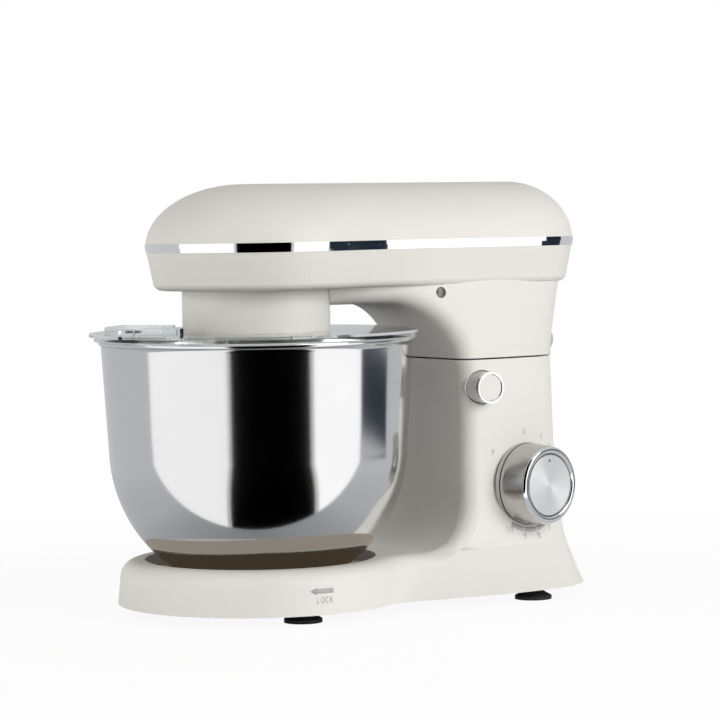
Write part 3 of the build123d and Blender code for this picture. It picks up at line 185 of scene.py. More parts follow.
# Studio seen in bright metal: past the table's straight front edge the cards run out to a round wall.
# Turns are degrees round the bowl's axis from the camera's side, to the right.
TABLE_EDGE = 0.128
TABLE_REACH = 2.5
TABLE_LIFT = 0.0015                             # reflected table, cards and blue strip above the floor
CARD_LIFT = 0.002
BLUE_LIFT = 0.004
# Painted shade of the reflected table: grey darkest along the camera's line in front of the bowl, where the
# object's shadow falls
TABLE_SHADE_TONES = ((0.0, 0.28), (0.1, 0.4), (0.18, 0.54), (0.5, 0.63))   # distance from the camera's line, grey
TABLE_TINT = (0.97, 0.99, 1.03)
STUDIO = 1.6                                    # distance and height of the wall
STUDIO_HIGH = 2.4
BLACK_TURNS = (-18.5, 38.0)
LEFT_TURNS = (-82.0, -21.0)
LEFT_GLOW = 1.2
RIGHT_TURNS = (41.0, 82.0)
RIGHT_GLOW = 1.35
BLUE_TURNS = (82.0, 111.0)
BLUE_TONE = (0.018, 0.028, 0.042)
BLUE_NEAR = 0.88                                # band on the floor, from and to
BLUE_FAR = 1.75
BLUE_WALL = 1.5                                 # band on the wall: distance, lower and upper edge
BLUE_LOW = 0.13
BLUE_HIGH = 0.6
CARD_STEPS = 25

# Painted shade: dark glowing cards over the bowl's seat and the ledge round it, seen only in the bowl's foot
SEAT_SHADE_Z = 31.0 * MM
SEAT_SHADE_IN = 40.0 * MM
SEAT_SHADE_OUT = 82.8 * MM
SEAT_SHADE_TONE = (0.065, 0.048, 0.032)
LEDGE_SHADE_Z = 39.6 * MM
LEDGE_SHADE_OUT = 97.0 * MM
LEDGE_SHADE_TONE = (0.36, 0.32, 0.27)
SHADE_STEPS = 49

# Screws in the arm's corner, one on each side
SCREW_Y = AXIS_Y + 128.0 * MM
SCREW_Z = 226.0 * MM
SCREW_RADIUS = 3.9 * MM
SCREW_THICK = 1.5 * MM
SCREW_BEVEL = 0.5 * MM
SCREW_SUNK = 1.2 * MM                           # head of the screw below the housing
SCREW_RIM = 6.0 * MM                            # from the hole's middle to where the housing is felt for
SCREW_STEPS = 40


def new_material(name):
    """Empty node material: returns the material, its node tree and its principled shader."""
    material = bpy.data.materials.new(name)
    material.use_nodes = True
    tree = material.node_tree
    shader = tree.nodes["Principled BSDF"]
    return material, tree, shader


def object_place(tree):
    """Object coordinates, which move with the piece."""
    return tree.nodes.new("ShaderNodeTexCoord").outputs["Object"]


def noise(tree, place, scale, detail=3.0, rough=0.5):
    """Noise of one size over the piece."""
    node = tree.nodes.new("ShaderNodeTexNoise")
    node.inputs["Scale"].default_value = scale
    node.inputs["Detail"].default_value = detail
    node.inputs["Roughness"].default_value = rough
    tree.links.new(place, node.inputs["Vector"])
    return node.outputs["Fac"]


def between(tree, value, low, high):
    """Value from 0 to 1 spread over a new range."""
    node = tree.nodes.new("ShaderNodeMapRange")
    node.inputs["To Min"].default_value = low
    node.inputs["To Max"].default_value = high
    tree.links.new(value, node.inputs["Value"])
    return node.outputs["Result"]


def two_tone(tree, value, dark, light):
    """Colour between two tones."""
    node = tree.nodes.new("ShaderNodeMix")
    node.data_type = "RGBA"
    node.inputs["A"].default_value = (*dark, 1.0)
    node.inputs["B"].default_value = (*light, 1.0)
    tree.links.new(value, node.inputs["Factor"])
    return node.outputs["Result"]


def bumps(tree, value, strength, depth):
    """Surface relief from a height value."""
    node = tree.nodes.new("ShaderNodeBump")
    node.inputs["Strength"].default_value = strength
    node.inputs["Distance"].default_value = depth
    tree.links.new(value, node.inputs["Height"])
    return node.outputs["Normal"]


def plastic(name, dark, light, rough_low, rough_high, grain, depth):
    """Moulded plastic or rubber: two close tones in soft clouds, uneven gloss and a fine moulded grain."""
    material, tree, shader = new_material(name)
    place = object_place(tree)
    clouds = noise(tree, place, PLASTIC_CLOUDS)
    tree.links.new(two_tone(tree, clouds, dark, light), shader.inputs["Base Color"])
    wear = noise(tree, place, PLASTIC_WEAR, 4.0)
    tree.links.new(between(tree, wear, rough_low, rough_high), shader.inputs["Roughness"])
    fine = noise(tree, place, grain, 2.0)
    tree.links.new(bumps(tree, fine, PLASTIC_RELIEF, depth), shader.inputs["Normal"])
    return material


def metal(name, dark, light, rough_low, rough_high, grain, depth):
    """Metal: slightly uneven tone and polish, with a fine surface grain."""
    material, tree, shader = new_material(name)
    shader.inputs["Metallic"].default_value = 1.0
    place = object_place(tree)
    clouds = noise(tree, place, METAL_CLOUDS)
    tree.links.new(two_tone(tree, clouds, dark, light), shader.inputs["Base Color"])
    wear = noise(tree, place, METAL_WEAR, 4.0)
    tree.links.new(between(tree, wear, rough_low, rough_high), shader.inputs["Roughness"])
    fine = noise(tree, place, grain, 2.0)
    tree.links.new(bumps(tree, fine, METAL_RELIEF, depth), shader.inputs["Normal"])
    return material


def bowl_steel():
    """Polished steel with very fine turned lines round the bowl's axis."""
    material, tree, shader = new_material("bowl_steel")
    shader.inputs["Metallic"].default_value = 1.0
    place = object_place(tree)
    clouds = noise(tree, place, STEEL_CLOUDS)
    tone = two_tone(tree, clouds, (0.66, 0.66, 0.66), (0.72, 0.72, 0.72))
    tree.links.new(tone, shader.inputs["Base Color"])
    split = tree.nodes.new("ShaderNodeSeparateXYZ")
    tree.links.new(place, split.inputs["Vector"])
    lines = tree.nodes.new("ShaderNodeTexNoise")
    lines.noise_dimensions = "1D"
    lines.inputs["Scale"].default_value = STEEL_LINES
    lines.inputs["Detail"].default_value = 2.0
    tree.links.new(split.outputs["Z"], lines.inputs["W"])
    tree.links.new(between(tree, lines.outputs["Fac"], 0.07, 0.15), shader.inputs["Roughness"])
    tree.links.new(bumps(tree, lines.outputs["Fac"], 0.03, 0.00002), shader.inputs["Normal"])
    return material


def spun_aluminium():
    """Dial face: fine turned circles, so that light spreads across them in two fans."""
    material, tree, shader = new_material("spun_aluminium")
    shader.inputs["Metallic"].default_value = 0.6
    shader.inputs["Anisotropic"].default_value = 0.9
    shader.inputs["Anisotropic Rotation"].default_value = 0.25
    ring = tree.nodes.new("ShaderNodeUVMap")
    ring.uv_map = "ring"
    split = tree.nodes.new("ShaderNodeSeparateXYZ")
    tree.links.new(ring.outputs["UV"], split.inputs["Vector"])
    circles = tree.nodes.new("ShaderNodeTexNoise")
    circles.noise_dimensions = "1D"
    circles.inputs["Scale"].default_value = FACE_LINES
    circles.inputs["Detail"].default_value = 3.0
    tree.links.new(split.outputs["Y"], circles.inputs["W"])
    tone = two_tone(tree, circles.outputs["Fac"], (0.78, 0.79, 0.81), (0.9, 0.91, 0.92))
    tree.links.new(tone, shader.inputs["Base Color"])
    tree.links.new(between(tree, circles.outputs["Fac"], 0.3, 0.42), shader.inputs["Roughness"])
    along = tree.nodes.new("ShaderNodeTangent")
    along.direction_type = "UV_MAP"
    along.uv_map = "ring"
    tree.links.new(along.outputs["Tangent"], shader.inputs["Tangent"])
    return material


def clear_plastic():
    """Clear moulded lid with faint flow marks."""
    material, tree, shader = new_material("clear_plastic")
    shader.inputs["Transmission Weight"].default_value = 1.0
    shader.inputs["IOR"].default_value = 1.3
    place = object_place(tree)
    flow = noise(tree, place, LID_CLOUDS)
    tone = two_tone(tree, flow, (0.93, 0.95, 0.95), (0.97, 0.98, 0.98))
    tree.links.new(tone, shader.inputs["Base Color"])
    tree.links.new(between(tree, flow, 0.02, 0.08), shader.inputs["Roughness"])
    tree.links.new(bumps(tree, flow, 0.05, 0.0004), shader.inputs["Normal"])
    return material


def grid_faces(rows, columns, around):
    """Corner numbers of a grid's quads as one array; with around the last column meets the first."""
    row = np.arange(rows - 1)[:, None]
    column = np.arange(columns if around else columns - 1)[None, :]
    after = (column + 1) % columns
    this = row * columns
    below = this + columns
    corners = (this + column, this + after, below + after, below + column)
    return np.stack(np.broadcast_arrays(*corners), axis=-1).reshape(-1, 4)


def ring_uv(rows, columns):
    """Share of the turn and share of the rows at each quad corner of a grid that closes round."""
    row, column = np.meshgrid(np.arange(rows - 1), np.arange(columns), indexing="ij")
    across = np.stack([column, column + 1, column + 1, column], axis=-1) / columns
    down = np.stack([row, row, row + 1, row + 1], axis=-1) / (rows - 1)
    return np.stack([across, down], axis=-1).reshape(-1)


def put_in_scene(name, data):
    """Object at the origin for a mesh, lamp or camera."""
    thing = bpy.data.objects.new(name, data)
    bpy.context.scene.collection.objects.link(thing)
    return thing


def add_piece(name, points, faces, material, body, nodes=(), uv=None):
    """Smooth mesh from points and quads, with points that lie on one spot joined, riding on a body."""
    mesh = bpy.data.meshes.new(name)
    mesh.from_pydata(points.reshape(-1, 3).tolist(), [], faces.tolist())
    mesh.polygons.foreach_set("use_smooth", np.ones(len(faces), dtype=bool))
    if uv is not None:
        mesh.uv_layers.new(name="ring").data.foreach_set("uv", uv.astype(np.float32))
    work = bmesh.new()
    work.from_mesh(mesh)
    bmesh.ops.remove_doubles(work, verts=work.verts, dist=MERGE)
    work.to_mesh(mesh)
    work.free()
    mesh.materials.append(material)
    piece = put_in_scene(name, mesh)
    if nodes:
        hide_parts(*nodes)
    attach(piece, body)
    return piece


def grid_piece(name, points, around, material, body, nodes=(), uv=None):
    """Grid of points (rows, columns, 3) as a piece."""
    faces = grid_faces(*points.shape[:2], around)
    return add_piece(name, points, faces, material, body, nodes, uv)


def turned(profile, steps, centre=(0.0, 0.0)):
    """Profile (radius, height) turned about an upright axis: rows follow the profile, columns the turn."""
    turn = np.linspace(0.0, 2 * math.pi, steps, endpoint=False)
    radius = profile[:, 0][:, None]
    x = centre[0] + radius * np.cos(turn)
    y = centre[1] + radius * np.sin(turn)
    z = np.repeat(profile[:, 1][:, None], steps, axis=1)
    return np.stack([x, y, z], axis=-1)


def circle_through(a, b, c):
    """Centre and radius of the circle through three points of a plane."""
    ax, ay = a
    bx, by = b
    cx, cy = c
    a_square = ax * ax + ay * ay
    b_square = bx * bx + by * by
    c_square = cx * cx + cy * cy
    divisor = 2 * (ax * (by - cy) + bx * (cy - ay) + cx * (ay - by))
    x = (a_square * (by - cy) + b_square * (cy - ay) + c_square * (ay - by)) / divisor
    y = (a_square * (cx - bx) + b_square * (ax - cx) + c_square * (bx - ax)) / divisor
    return (x, y), math.hypot(ax - x, ay - y)


def bowl_profile():
    """Bowl's closed section from the middle of its underside round the bead to the middle of its inside."""
    flat = (BOWL_FLAT, BOWL_BOTTOM)
    knee = (BOWL_KNEE, BOWL_KNEE_HEIGHT)
    waist = (BOWL_WAIST, BOWL_WAIST_HEIGHT)
    centre, radius = circle_through(flat, knee, waist)
    start = math.atan2(flat[1] - centre[1], flat[0] - centre[0])
    end = math.atan2(waist[1] - centre[1], waist[0] - centre[0])

    def curve(inset):
        angles = np.linspace(start, end, CURVE_STEPS)
        arc_x = centre[0] + (radius - inset) * np.cos(angles)
        arc_z = centre[1] + (radius - inset) * np.sin(angles)
        return np.stack([arc_x, arc_z], axis=1)

    out = np.linspace(0.0, BOWL_FLAT, BOTTOM_STEPS)[:-1]
    middle = np.stack([out, np.full(len(out), BOWL_BOTTOM)], axis=1)
    rise = np.linspace(0.0, 1.0, WALL_STEPS)[1:, None]
    wall_top = np.array([[BOWL_RADIUS, BOWL_RIM - BEAD]])
    outer_wall = np.array([waist]) * (1 - rise) + wall_top * rise
    bead_turn = np.linspace(-math.pi / 2, BEAD_END, BEAD_STEPS)[1:]
    bead_x = BOWL_RADIUS + BEAD * np.cos(bead_turn)
    bead_z = BOWL_RIM + BEAD * np.sin(bead_turn)
    bead = np.stack([bead_x, bead_z], axis=1)
    step = np.array([[-BOWL_WALL, 0.0]])
    inner_wall = (outer_wall + step)[::-1]
    inner_wall = inner_wall[inner_wall[:, 1] < bead[-1, 1]]
    inside = curve(BOWL_WALL)[::-1]
    floor = middle[::-1] + np.array([[0.0, BOWL_WALL]])
    return np.concatenate([middle, curve(0.0), outer_wall, bead, inner_wall, inside, floor])


def lug_points(angle, low):
    """One lug of the bowl's foot: a block's outline carried round a small turn, its ends drawn to a point."""
    turn = np.linspace(angle - LUG_ANGLE / 2, angle + LUG_ANGLE / 2, LUG_STEPS)
    inner = TWIST_RADIUS - TWIST_WALL / 2
    outer = TWIST_RADIUS + LUG_REACH
    high = low + LUG_HEIGHT
    outline = np.array([(inner, low), (outer, low), (outer, high), (inner, high), (inner, low)])
    middle = np.broadcast_to(outline[:4].mean(axis=0), outline.shape)
    sections = np.stack([middle] + [outline] * len(turn) + [middle], axis=1)
    turn = np.concatenate([turn[:1], turn, turn[-1:]])
    x = sections[..., 0] * np.cos(turn)
    y = AXIS_Y + sections[..., 0] * np.sin(turn)
    return np.stack([x, y, sections[..., 1]], axis=-1)


def make_bowl(material):
    """Bowl, its twist foot and the foot's lugs."""
    axis = (0.0, AXIS_Y)
    shell = turned(bowl_profile(), BOWL_STEPS, axis)
    grid_piece("bowl_shell", shell, True, material, "bowl", ["bowl"])
    low = BOWL_LOW[2]
    inner = TWIST_RADIUS - TWIST_WALL
    foot = np.array([
        (inner, BOWL_BOTTOM), (inner, low), (TWIST_RADIUS, low), (TWIST_RADIUS, BOWL_BOTTOM),
        (inner, BOWL_BOTTOM)])
    grid_piece("bowl_foot", turned(foot, FOOT_STEPS, axis), True, material, "bowl")
    for i in range(LUG_COUNT):
        angle = math.pi / 2 + 2 * math.pi * i / LUG_COUNT
        grid_piece(f"bowl_lug_{i}", lug_points(angle, low), False, material, "bowl")


def on_dial(profile, steps, above=0.0):
    """Profile (radius, distance from the pillar) turned about the dial's axis, or about one above it."""
    turn = np.linspace(0.0, 2 * math.pi, steps, endpoint=False)
    across = np.array(DIAL_ACROSS)
    up = np.array(DIAL_UP)
    out = np.array(DIAL_OUT)
    radius = profile[:, 0][:, None, None]
    along = profile[:, 1][:, None, None]
    ring = np.cos(turn)[None, :, None] * across + np.sin(turn)[None, :, None] * up
    return np.array(DIAL_CENTRE) + above * up + radius * ring + along * out


def rounded(points, radius, steps=5):
    """Open outline with its inner corners rounded by short curves."""
    points = [np.array(p) for p in points]
    out = [points[0]]
    for before, corner, after in zip(points[:-2], points[1:-1], points[2:]):
        a = before - corner
        b = after - corner
        reach = min(radius, np.linalg.norm(a) * 0.45, np.linalg.norm(b) * 0.45)
        first = corner + a / np.linalg.norm(a) * reach
        last = corner + b / np.linalg.norm(b) * reach
        for t in np.linspace(0.0, 1.0, steps):
            out.append((1 - t) ** 2 * first + 2 * t * (1 - t) * corner + t ** 2 * last)
    out.append(points[-1])
    return np.array(out)


def make_dial(chrome, satin, spun, dark):
    """Satin skirt with its shaft, bright ring, turned disc in the ring and pointer dot on the disc."""
    floor = DIAL_END - DIAL_DISH
    skirt = [
        (0.0, DIAL_SHAFT_END), (DIAL_SHAFT, DIAL_SHAFT_END), (DIAL_SHAFT, DIAL_START),
        (DIAL_RADIUS, DIAL_START), (DIAL_RADIUS, DIAL_START + DIAL_BAND), (DIAL_FRONT, floor), (0.0, floor)]
    points = on_dial(rounded(skirt, SKIRT_ROUND), DIAL_STEPS)
    grid_piece("dial_skirt", points, True, satin, "dial", ["dial_knob"])
    ring = [
        (DIAL_FACE, floor), (DIAL_FRONT, floor), (DIAL_FRONT, DIAL_END - DIAL_CHAMFER),
        (DIAL_FRONT - DIAL_CHAMFER, DIAL_END), (DIAL_FACE + DIAL_DISH, DIAL_END), (DIAL_FACE, floor)]
    points = on_dial(rounded(ring, RING_ROUND, RING_CORNER_STEPS), DIAL_STEPS)
    grid_piece("dial_ring", points, True, chrome, "dial")
    edge = DIAL_FACE - FACE_GAP
    low = floor + FACE_THICK
    face = np.stack([np.linspace(edge, 0.0, FACE_CIRCLES), np.full(FACE_CIRCLES, low)], axis=1)
    face = np.concatenate([[(0.0, floor), (edge, floor)], face])
    points = on_dial(face, DIAL_STEPS)
    uv = ring_uv(len(face), DIAL_STEPS)
    grid_piece("dial_face_spun", points, True, spun, "dial", ["dial_face"], uv)
    high = low + MARK_PROUD
    dot = np.array([(0.0, low), (DOT_RADIUS, low), (DOT_TOP, high), (0.0, high)])
    points = on_dial(dot, DOT_STEPS, DOT_PLACE)
    grid_piece("dial_dot", points, True, dark, "dial")


def arc(x, y, reach_x, reach_y, start, end):
    """Part of an ellipse as a line of points, between two angles in degrees."""
    angle = np.radians(np.linspace(start, end, ARC_POINTS))
    return np.stack([x + reach_x * np.cos(angle), y + reach_y * np.sin(angle)], axis=1)


def line(*corners):
    """Straight runs between corners, each with points along it."""
    corners = np.array(corners, dtype=float)
    runs = len(corners) - 1
    step = np.linspace(0.0, runs, RUN_POINTS * runs + 1)
    whole = np.arange(len(corners))
    x = np.interp(step, whole, corners[:, 0])
    y = np.interp(step, whole, corners[:, 1])
    return np.stack([x, y], axis=1)


def glyphs():
    """Strokes of the numbers and letters in use, each in a box one high and about half as wide."""
    ring = arc(*GLYPH_MIDDLE, 0.24, 0.46, 0, 360)
    hook_top = arc(0.28, 0.7, 0.22, 0.26, 165, -35)
    hook = np.concatenate([hook_top, line((0.46, 0.55), (0.06, 0.04), (0.52, 0.04))])
    loop_top = line((0.08, 0.96), (0.26, 0.96))
    loop_end = line((0.26, 0.5), (0.08, 0.5))
    loop = np.concatenate([loop_top, arc(0.26, 0.73, 0.24, 0.23, 90, -90), loop_end])
    stem = line((0.08, 0.04), (0.08, 0.96))
    return {
        "0": [ring],
        "1": [line((0.08, 0.76), (0.3, 0.96), (0.3, 0.04))],
        "2": [hook],
        "3": [arc(0.26, 0.73, 0.2, 0.23, 150, -90), arc(0.26, 0.27, 0.24, 0.23, 90, -150)],
        "4": [line((0.4, 0.04), (0.4, 0.96), (0.04, 0.3), (0.54, 0.3))],
        "5": [line((0.48, 0.96), (0.13, 0.96), (0.1, 0.55)), arc(0.27, 0.32, 0.23, 0.28, 135, -150)],
        "6": [arc(0.28, 0.3, 0.23, 0.26, 0, 360), arc(0.5, 0.34, 0.45, 0.6, 180, 105)],
        "7": [line((0.05, 0.96), (0.52, 0.96), (0.2, 0.04))],
        "8": [arc(0.28, 0.74, 0.19, 0.22, 0, 360), arc(0.28, 0.28, 0.24, 0.25, 0, 360)],
        "9": [arc(0.28, 0.7, 0.23, 0.26, 0, 360), arc(0.06, 0.66, 0.45, 0.6, 0, -75)],
        "P": [stem, loop],
        "L": [line((0.08, 0.96), (0.08, 0.04), (0.46, 0.04))],
        "O": [ring],
        "C": [arc(0.3, 0.5, 0.25, 0.46, 50, 310)],
        "K": [stem, line((0.5, 0.96), (0.1, 0.42)), line((0.22, 0.58), (0.52, 0.04))],
    }


def written(word, height):
    """Word as strokes round its own middle, letter after letter at one pitch."""
    strokes = []
    for place, letter in enumerate(word):
        step = GLYPH_PITCH * (place - (len(word) - 1) / 2)
        shift = (step - GLYPH_MIDDLE[0], -GLYPH_MIDDLE[1])
        strokes += [(stroke + shift) * height for stroke in GLYPHS[letter]]
    return strokes


def ribbon(stroke, width):
    """Strip of even width along a stroke: the stroke moved to both sides across its own direction."""
    along = np.gradient(stroke, axis=0)
    along /= np.maximum(np.linalg.norm(along, axis=1, keepdims=True), MERGE)
    aside = np.stack([-along[:, 1], along[:, 0]], axis=1) * width / 2
    return np.stack([stroke - aside, stroke + aside])


def scale_strip(start, end):
    """Part of the dial's scale between two clockwise angles: its width grows evenly with the angle."""
    angle = np.linspace(start, end, SCALE_STEPS)
    share = (angle - FIRST_NUMBER) / (LAST_NUMBER - FIRST_NUMBER)
    outer = SCALE_INNER + SCALE_START + share * (SCALE_END - SCALE_START)
    turn = np.radians(angle)
    around = np.stack([np.sin(turn), np.cos(turn)], axis=1)
    return np.stack([outer[:, None] * around, SCALE_INNER * around])


def dial_strips():
    """All marks round the dial as strips in its plane: across and up from its middle."""
    angles = np.linspace(FIRST_NUMBER, LAST_NUMBER, NUMBERS)
    labels = [("P", PULSE_TURN), ("0", 0.0)]
    labels += [(str(number + 1), angle) for number, angle in enumerate(angles)]
    strips = [scale_strip(a + SCALE_GAP, b - SCALE_GAP) for a, b in zip(angles[:-1], angles[1:])]
    for word, angle in labels:
        turn = math.radians(angle)
        middle = LABEL_RADIUS * np.array([math.sin(turn), math.cos(turn)])
        strips += [ribbon(stroke + middle, STROKE) for stroke in written(word, LABEL_HEIGHT)]
    return strips


def lock_strips():
    """Arrow and word on the round base as strips: distance round the base and height."""
    point = ARROW_POINT * BASE_RADIUS
    tail = ARROW_TAIL * BASE_RADIUS
    neck = point + 2 * ARROW_HEAD
    head = np.stack([line((point, 0.0), (neck, side * ARROW_HEAD)) for side in (-1, 1)])
    shaft = np.stack([line((neck, side * ARROW_SHAFT), (tail, side * ARROW_SHAFT)) for side in (-1, 1)])
    strips = [strip + (0.0, ARROW_HEIGHT) for strip in (head, shaft)]
    middle = (WORD_TURN * BASE_RADIUS, WORD_HEIGHT)
    return strips + [ribbon(stroke + middle, STROKE) for stroke in written("LOCK", WORD_SIZE)]


def strip_mesh(strips):
    """Corner points and quads of many strips together."""
    points = np.concatenate([strip.reshape(-1, 2) for strip in strips])
    counts = [strip.shape[1] for strip in strips]
    starts = np.cumsum([0] + [2 * count for count in counts[:-1]])
    faces = np.concatenate([grid_faces(2, count, False) + start for count, start in zip(counts, starts)])
    return points, faces


def thicken(piece):
    """Gives the ink its thickness towards the housing."""
    solid = piece.modifiers.new("ink", "SOLIDIFY")
    solid.thickness = MARK_THICK
    solid.offset = -1.0


def make_dial_marks(ink):
    """Marks round the dial, laid along its axis onto the pillar's side."""
    points, faces = strip_mesh(dial_strips())
    start = np.full(len(points), DIAL_RADIUS)
    flat = np.stack([start, points[:, 0], points[:, 1]], axis=1)
    piece = add_piece("dial_marks", flat, faces, ink, "base")
    piece.matrix_world = Matrix.Translation(DIAL_CENTRE) @ Matrix.Rotation(DIAL_TURN, 4, "Z")
    lay = piece.modifiers.new("lay", "SHRINKWRAP")
    lay.target = frame["nodes"]["base_housing"]
    lay.wrap_method = "PROJECT"
    lay.use_project_x = True
    lay.use_positive_direction = False
    lay.use_negative_direction = True
    lay.wrap_mode = "ABOVE_SURFACE"
    lay.offset = MARK_PROUD
    bpy.context.view_layer.update()
    laid = bpy.data.meshes.new_from_object(piece.evaluated_get(bpy.context.evaluated_depsgraph_get()))
    laid.transform(piece.matrix_world)
    piece.modifiers.clear()
    piece.data = laid
    piece.matrix_world = Matrix.Identity(4)
    thicken(piece)


def make_lock_mark(ink):
    """Arrow and word rolled round the base: its radius draws in with the height."""
    points, faces = strip_mesh(lock_strips())
    turn = points[:, 0] / BASE_RADIUS
    radius = BASE_RADIUS - BASE_DRAFT * (points[:, 1] - BASE_BOTTOM) + MARK_PROUD
    rolled = np.stack([radius * np.cos(turn), AXIS_Y + radius * np.sin(turn), points[:, 1]], axis=1)
    thicken(add_piece("lock_mark", rolled, faces, ink, "base"))


def make_neck_screws(material):
    """Screw heads sunk in the arm's corner: a flat disc with a bevelled front edge, turned about X."""
    housing = frame["nodes"]["head_lower_housing"]
    turn = np.linspace(0.0, 2 * math.pi, SCREW_STEPS, endpoint=False)
    profile = np.array([
        (0.0, 0.0), (SCREW_RADIUS - SCREW_BEVEL, 0.0), (SCREW_RADIUS, SCREW_BEVEL),
        (SCREW_RADIUS, SCREW_THICK), (0.0, SCREW_THICK)])
    radius = profile[:, 0][:, None]
    depth = np.repeat(profile[:, 1][:, None], SCREW_STEPS, axis=1)
    for name, side in (("neck_screw_right", 1), ("neck_screw_left", -1)):
        beside = Vector((side, SCREW_Y + SCREW_RIM, SCREW_Z))
        wall = housing.ray_cast(beside, Vector((-side, 0.0, 0.0)))[1].x
        x = wall - side * (SCREW_SUNK + depth)
        y = SCREW_Y + side * radius * np.cos(turn)
        z = SCREW_Z + radius * np.sin(turn)
        grid_piece(name, np.stack([x, y, z], axis=-1)[::-1], True, material, "head")


def floor_white():
    """White floor, part of its light its own so that shadows stay soft, fading away from the object."""
    material, tree, shader = new_material("floor_white")
    shader.inputs["Base Color"].default_value = (*FLOOR_TONE, 1.0)
    shader.inputs["Roughness"].default_value = 0.9
    shader.inputs["Specular IOR Level"].default_value = 0.0
    glow = tree.nodes.new("ShaderNodeEmission")
    path = tree.nodes.new("ShaderNodeLightPath")
    share = tree.nodes.new("ShaderNodeMath")
    share.operation = "MULTIPLY"
    share.inputs[1].default_value = FLOOR_GLOW
    tree.links.new(path.outputs["Is Camera Ray"], share.inputs[0])
    lit = tree.nodes.new("ShaderNodeMixShader")
    tree.links.new(share.outputs["Value"], lit.inputs["Fac"])
    tree.links.new(shader.outputs["BSDF"], lit.inputs[1])
    tree.links.new(glow.outputs["Emission"], lit.inputs[2])
    length = tree.nodes.new("ShaderNodeVectorMath")
    length.operation = "LENGTH"
    tree.links.new(object_place(tree), length.inputs[0])
    fade = tree.nodes.new("ShaderNodeMapRange")
    fade.inputs["From Min"].default_value = FLOOR_SOLID
    fade.inputs["From Max"].default_value = FLOOR_END
    tree.links.new(length.outputs["Value"], fade.inputs["Value"])
    clear = tree.nodes.new("ShaderNodeBsdfTransparent")
    mix = tree.nodes.new("ShaderNodeMixShader")
    tree.links.new(fade.outputs["Result"], mix.inputs["Fac"])
    tree.links.new(lit.outputs["Shader"], mix.inputs[1])
    tree.links.new(clear.outputs["BSDF"], mix.inputs[2])
    tree.links.new(mix.outputs["Shader"], tree.nodes["Material Output"].inputs["Surface"])
    return material


def make_stage():
    """White floor that keeps its shadow, and a surrounding that is white to look at and softer as light."""
    half = FLOOR_HALF
    corners = [(-half, -half, 0), (half, -half, 0), (half, half, 0), (-half, half, 0)]
    mesh = bpy.data.meshes.new("floor")
    mesh.from_pydata(corners, [], [(0, 1, 2, 3)])
    mesh.materials.append(floor_white())
    put_in_scene("floor", mesh)
    world = bpy.data.worlds.new("studio")
    bpy.context.scene.world = world
    world.use_nodes = True
    tree = world.node_tree
    path = tree.nodes.new("ShaderNodeLightPath")
    tone = two_tone(tree, path.outputs["Is Glossy Ray"], SOFT_LIGHT, IN_METAL)
    seen = tree.nodes.new("ShaderNodeMix")
    seen.data_type = "RGBA"
    seen.inputs["B"].default_value = (*WHITE, 1.0)
    tree.links.new(path.outputs["Is Camera Ray"], seen.inputs["Factor"])
    tree.links.new(tone, seen.inputs["A"])
    tree.links.new(seen.outputs["Result"], tree.nodes["Background"].inputs["Color"])


def camera_ways():
    """Level directions from the bowl's axis towards the camera and to its right."""
    towards = np.array(Vector((CAMERA_PLACE.x, CAMERA_PLACE.y - AXIS_Y, 0.0)).normalized())
    aside = np.array((math.cos(CAMERA_TURN), math.sin(CAMERA_TURN), 0.0))
    return towards, aside


def round_bowl(turns, distances, height):
    """Points at turns from the camera's side and at distances from the bowl's axis, all at one height."""
    towards, aside = camera_ways()
    ways = np.cos(turns)[:, None] * towards + np.sin(turns)[:, None] * aside
    return np.array((0.0, AXIS_Y, height)) + distances * ways


def reflector(name, rows, tone, strength):
    """Surface through rows of points that glows in one tone and is seen only in reflections."""
    points = np.stack(rows)
    faces = grid_faces(*points.shape[:2], False)
    mesh = bpy.data.meshes.new(name)
    mesh.from_pydata(points.reshape(-1, 3).tolist(), [], faces.tolist())
    piece = put_in_scene(name, mesh)
    material, tree, shader = new_material(name)
    shader.inputs["Base Color"].default_value = (*BLACK, 1.0)
    shader.inputs["Specular IOR Level"].default_value = 0.0
    shader.inputs["Emission Color"].default_value = (*tone, 1.0)
    shader.inputs["Emission Strength"].default_value = strength
    mesh.materials.append(material)
    piece.visible_camera = False
    piece.visible_diffuse = False
    piece.visible_shadow = False
    piece.visible_transmission = False
    return tree, shader


def card(name, between_turns, tone, strength):
    """Card that runs from the table's edge along the floor to the studio's wall, and up it."""
    turns = np.radians(np.linspace(*between_turns, CARD_STEPS))
    edge = np.minimum(TABLE_EDGE / np.cos(turns), STUDIO)[:, None]
    section = ((edge, CARD_LIFT), (STUDIO, CARD_LIFT), (STUDIO, STUDIO_HIGH))
    rows = [round_bowl(turns, distance, height) for distance, height in section]
    reflector(name, rows, tone, strength)


def make_blue_strip():
    """Dark blue strip to the right of the studio: a band on the floor and a band on the wall."""
    turns = np.radians(np.linspace(*BLUE_TURNS, CARD_STEPS))
    floor_rows = [round_bowl(turns, distance, BLUE_LIFT) for distance in (BLUE_NEAR, BLUE_FAR)]
    wall_rows = [round_bowl(turns, BLUE_WALL, height) for height in (BLUE_LOW, BLUE_HIGH)]
    reflector("card_blue_floor", floor_rows, BLUE_TONE, 1.0)
    reflector("card_blue_wall", wall_rows, BLUE_TONE, 1.0)


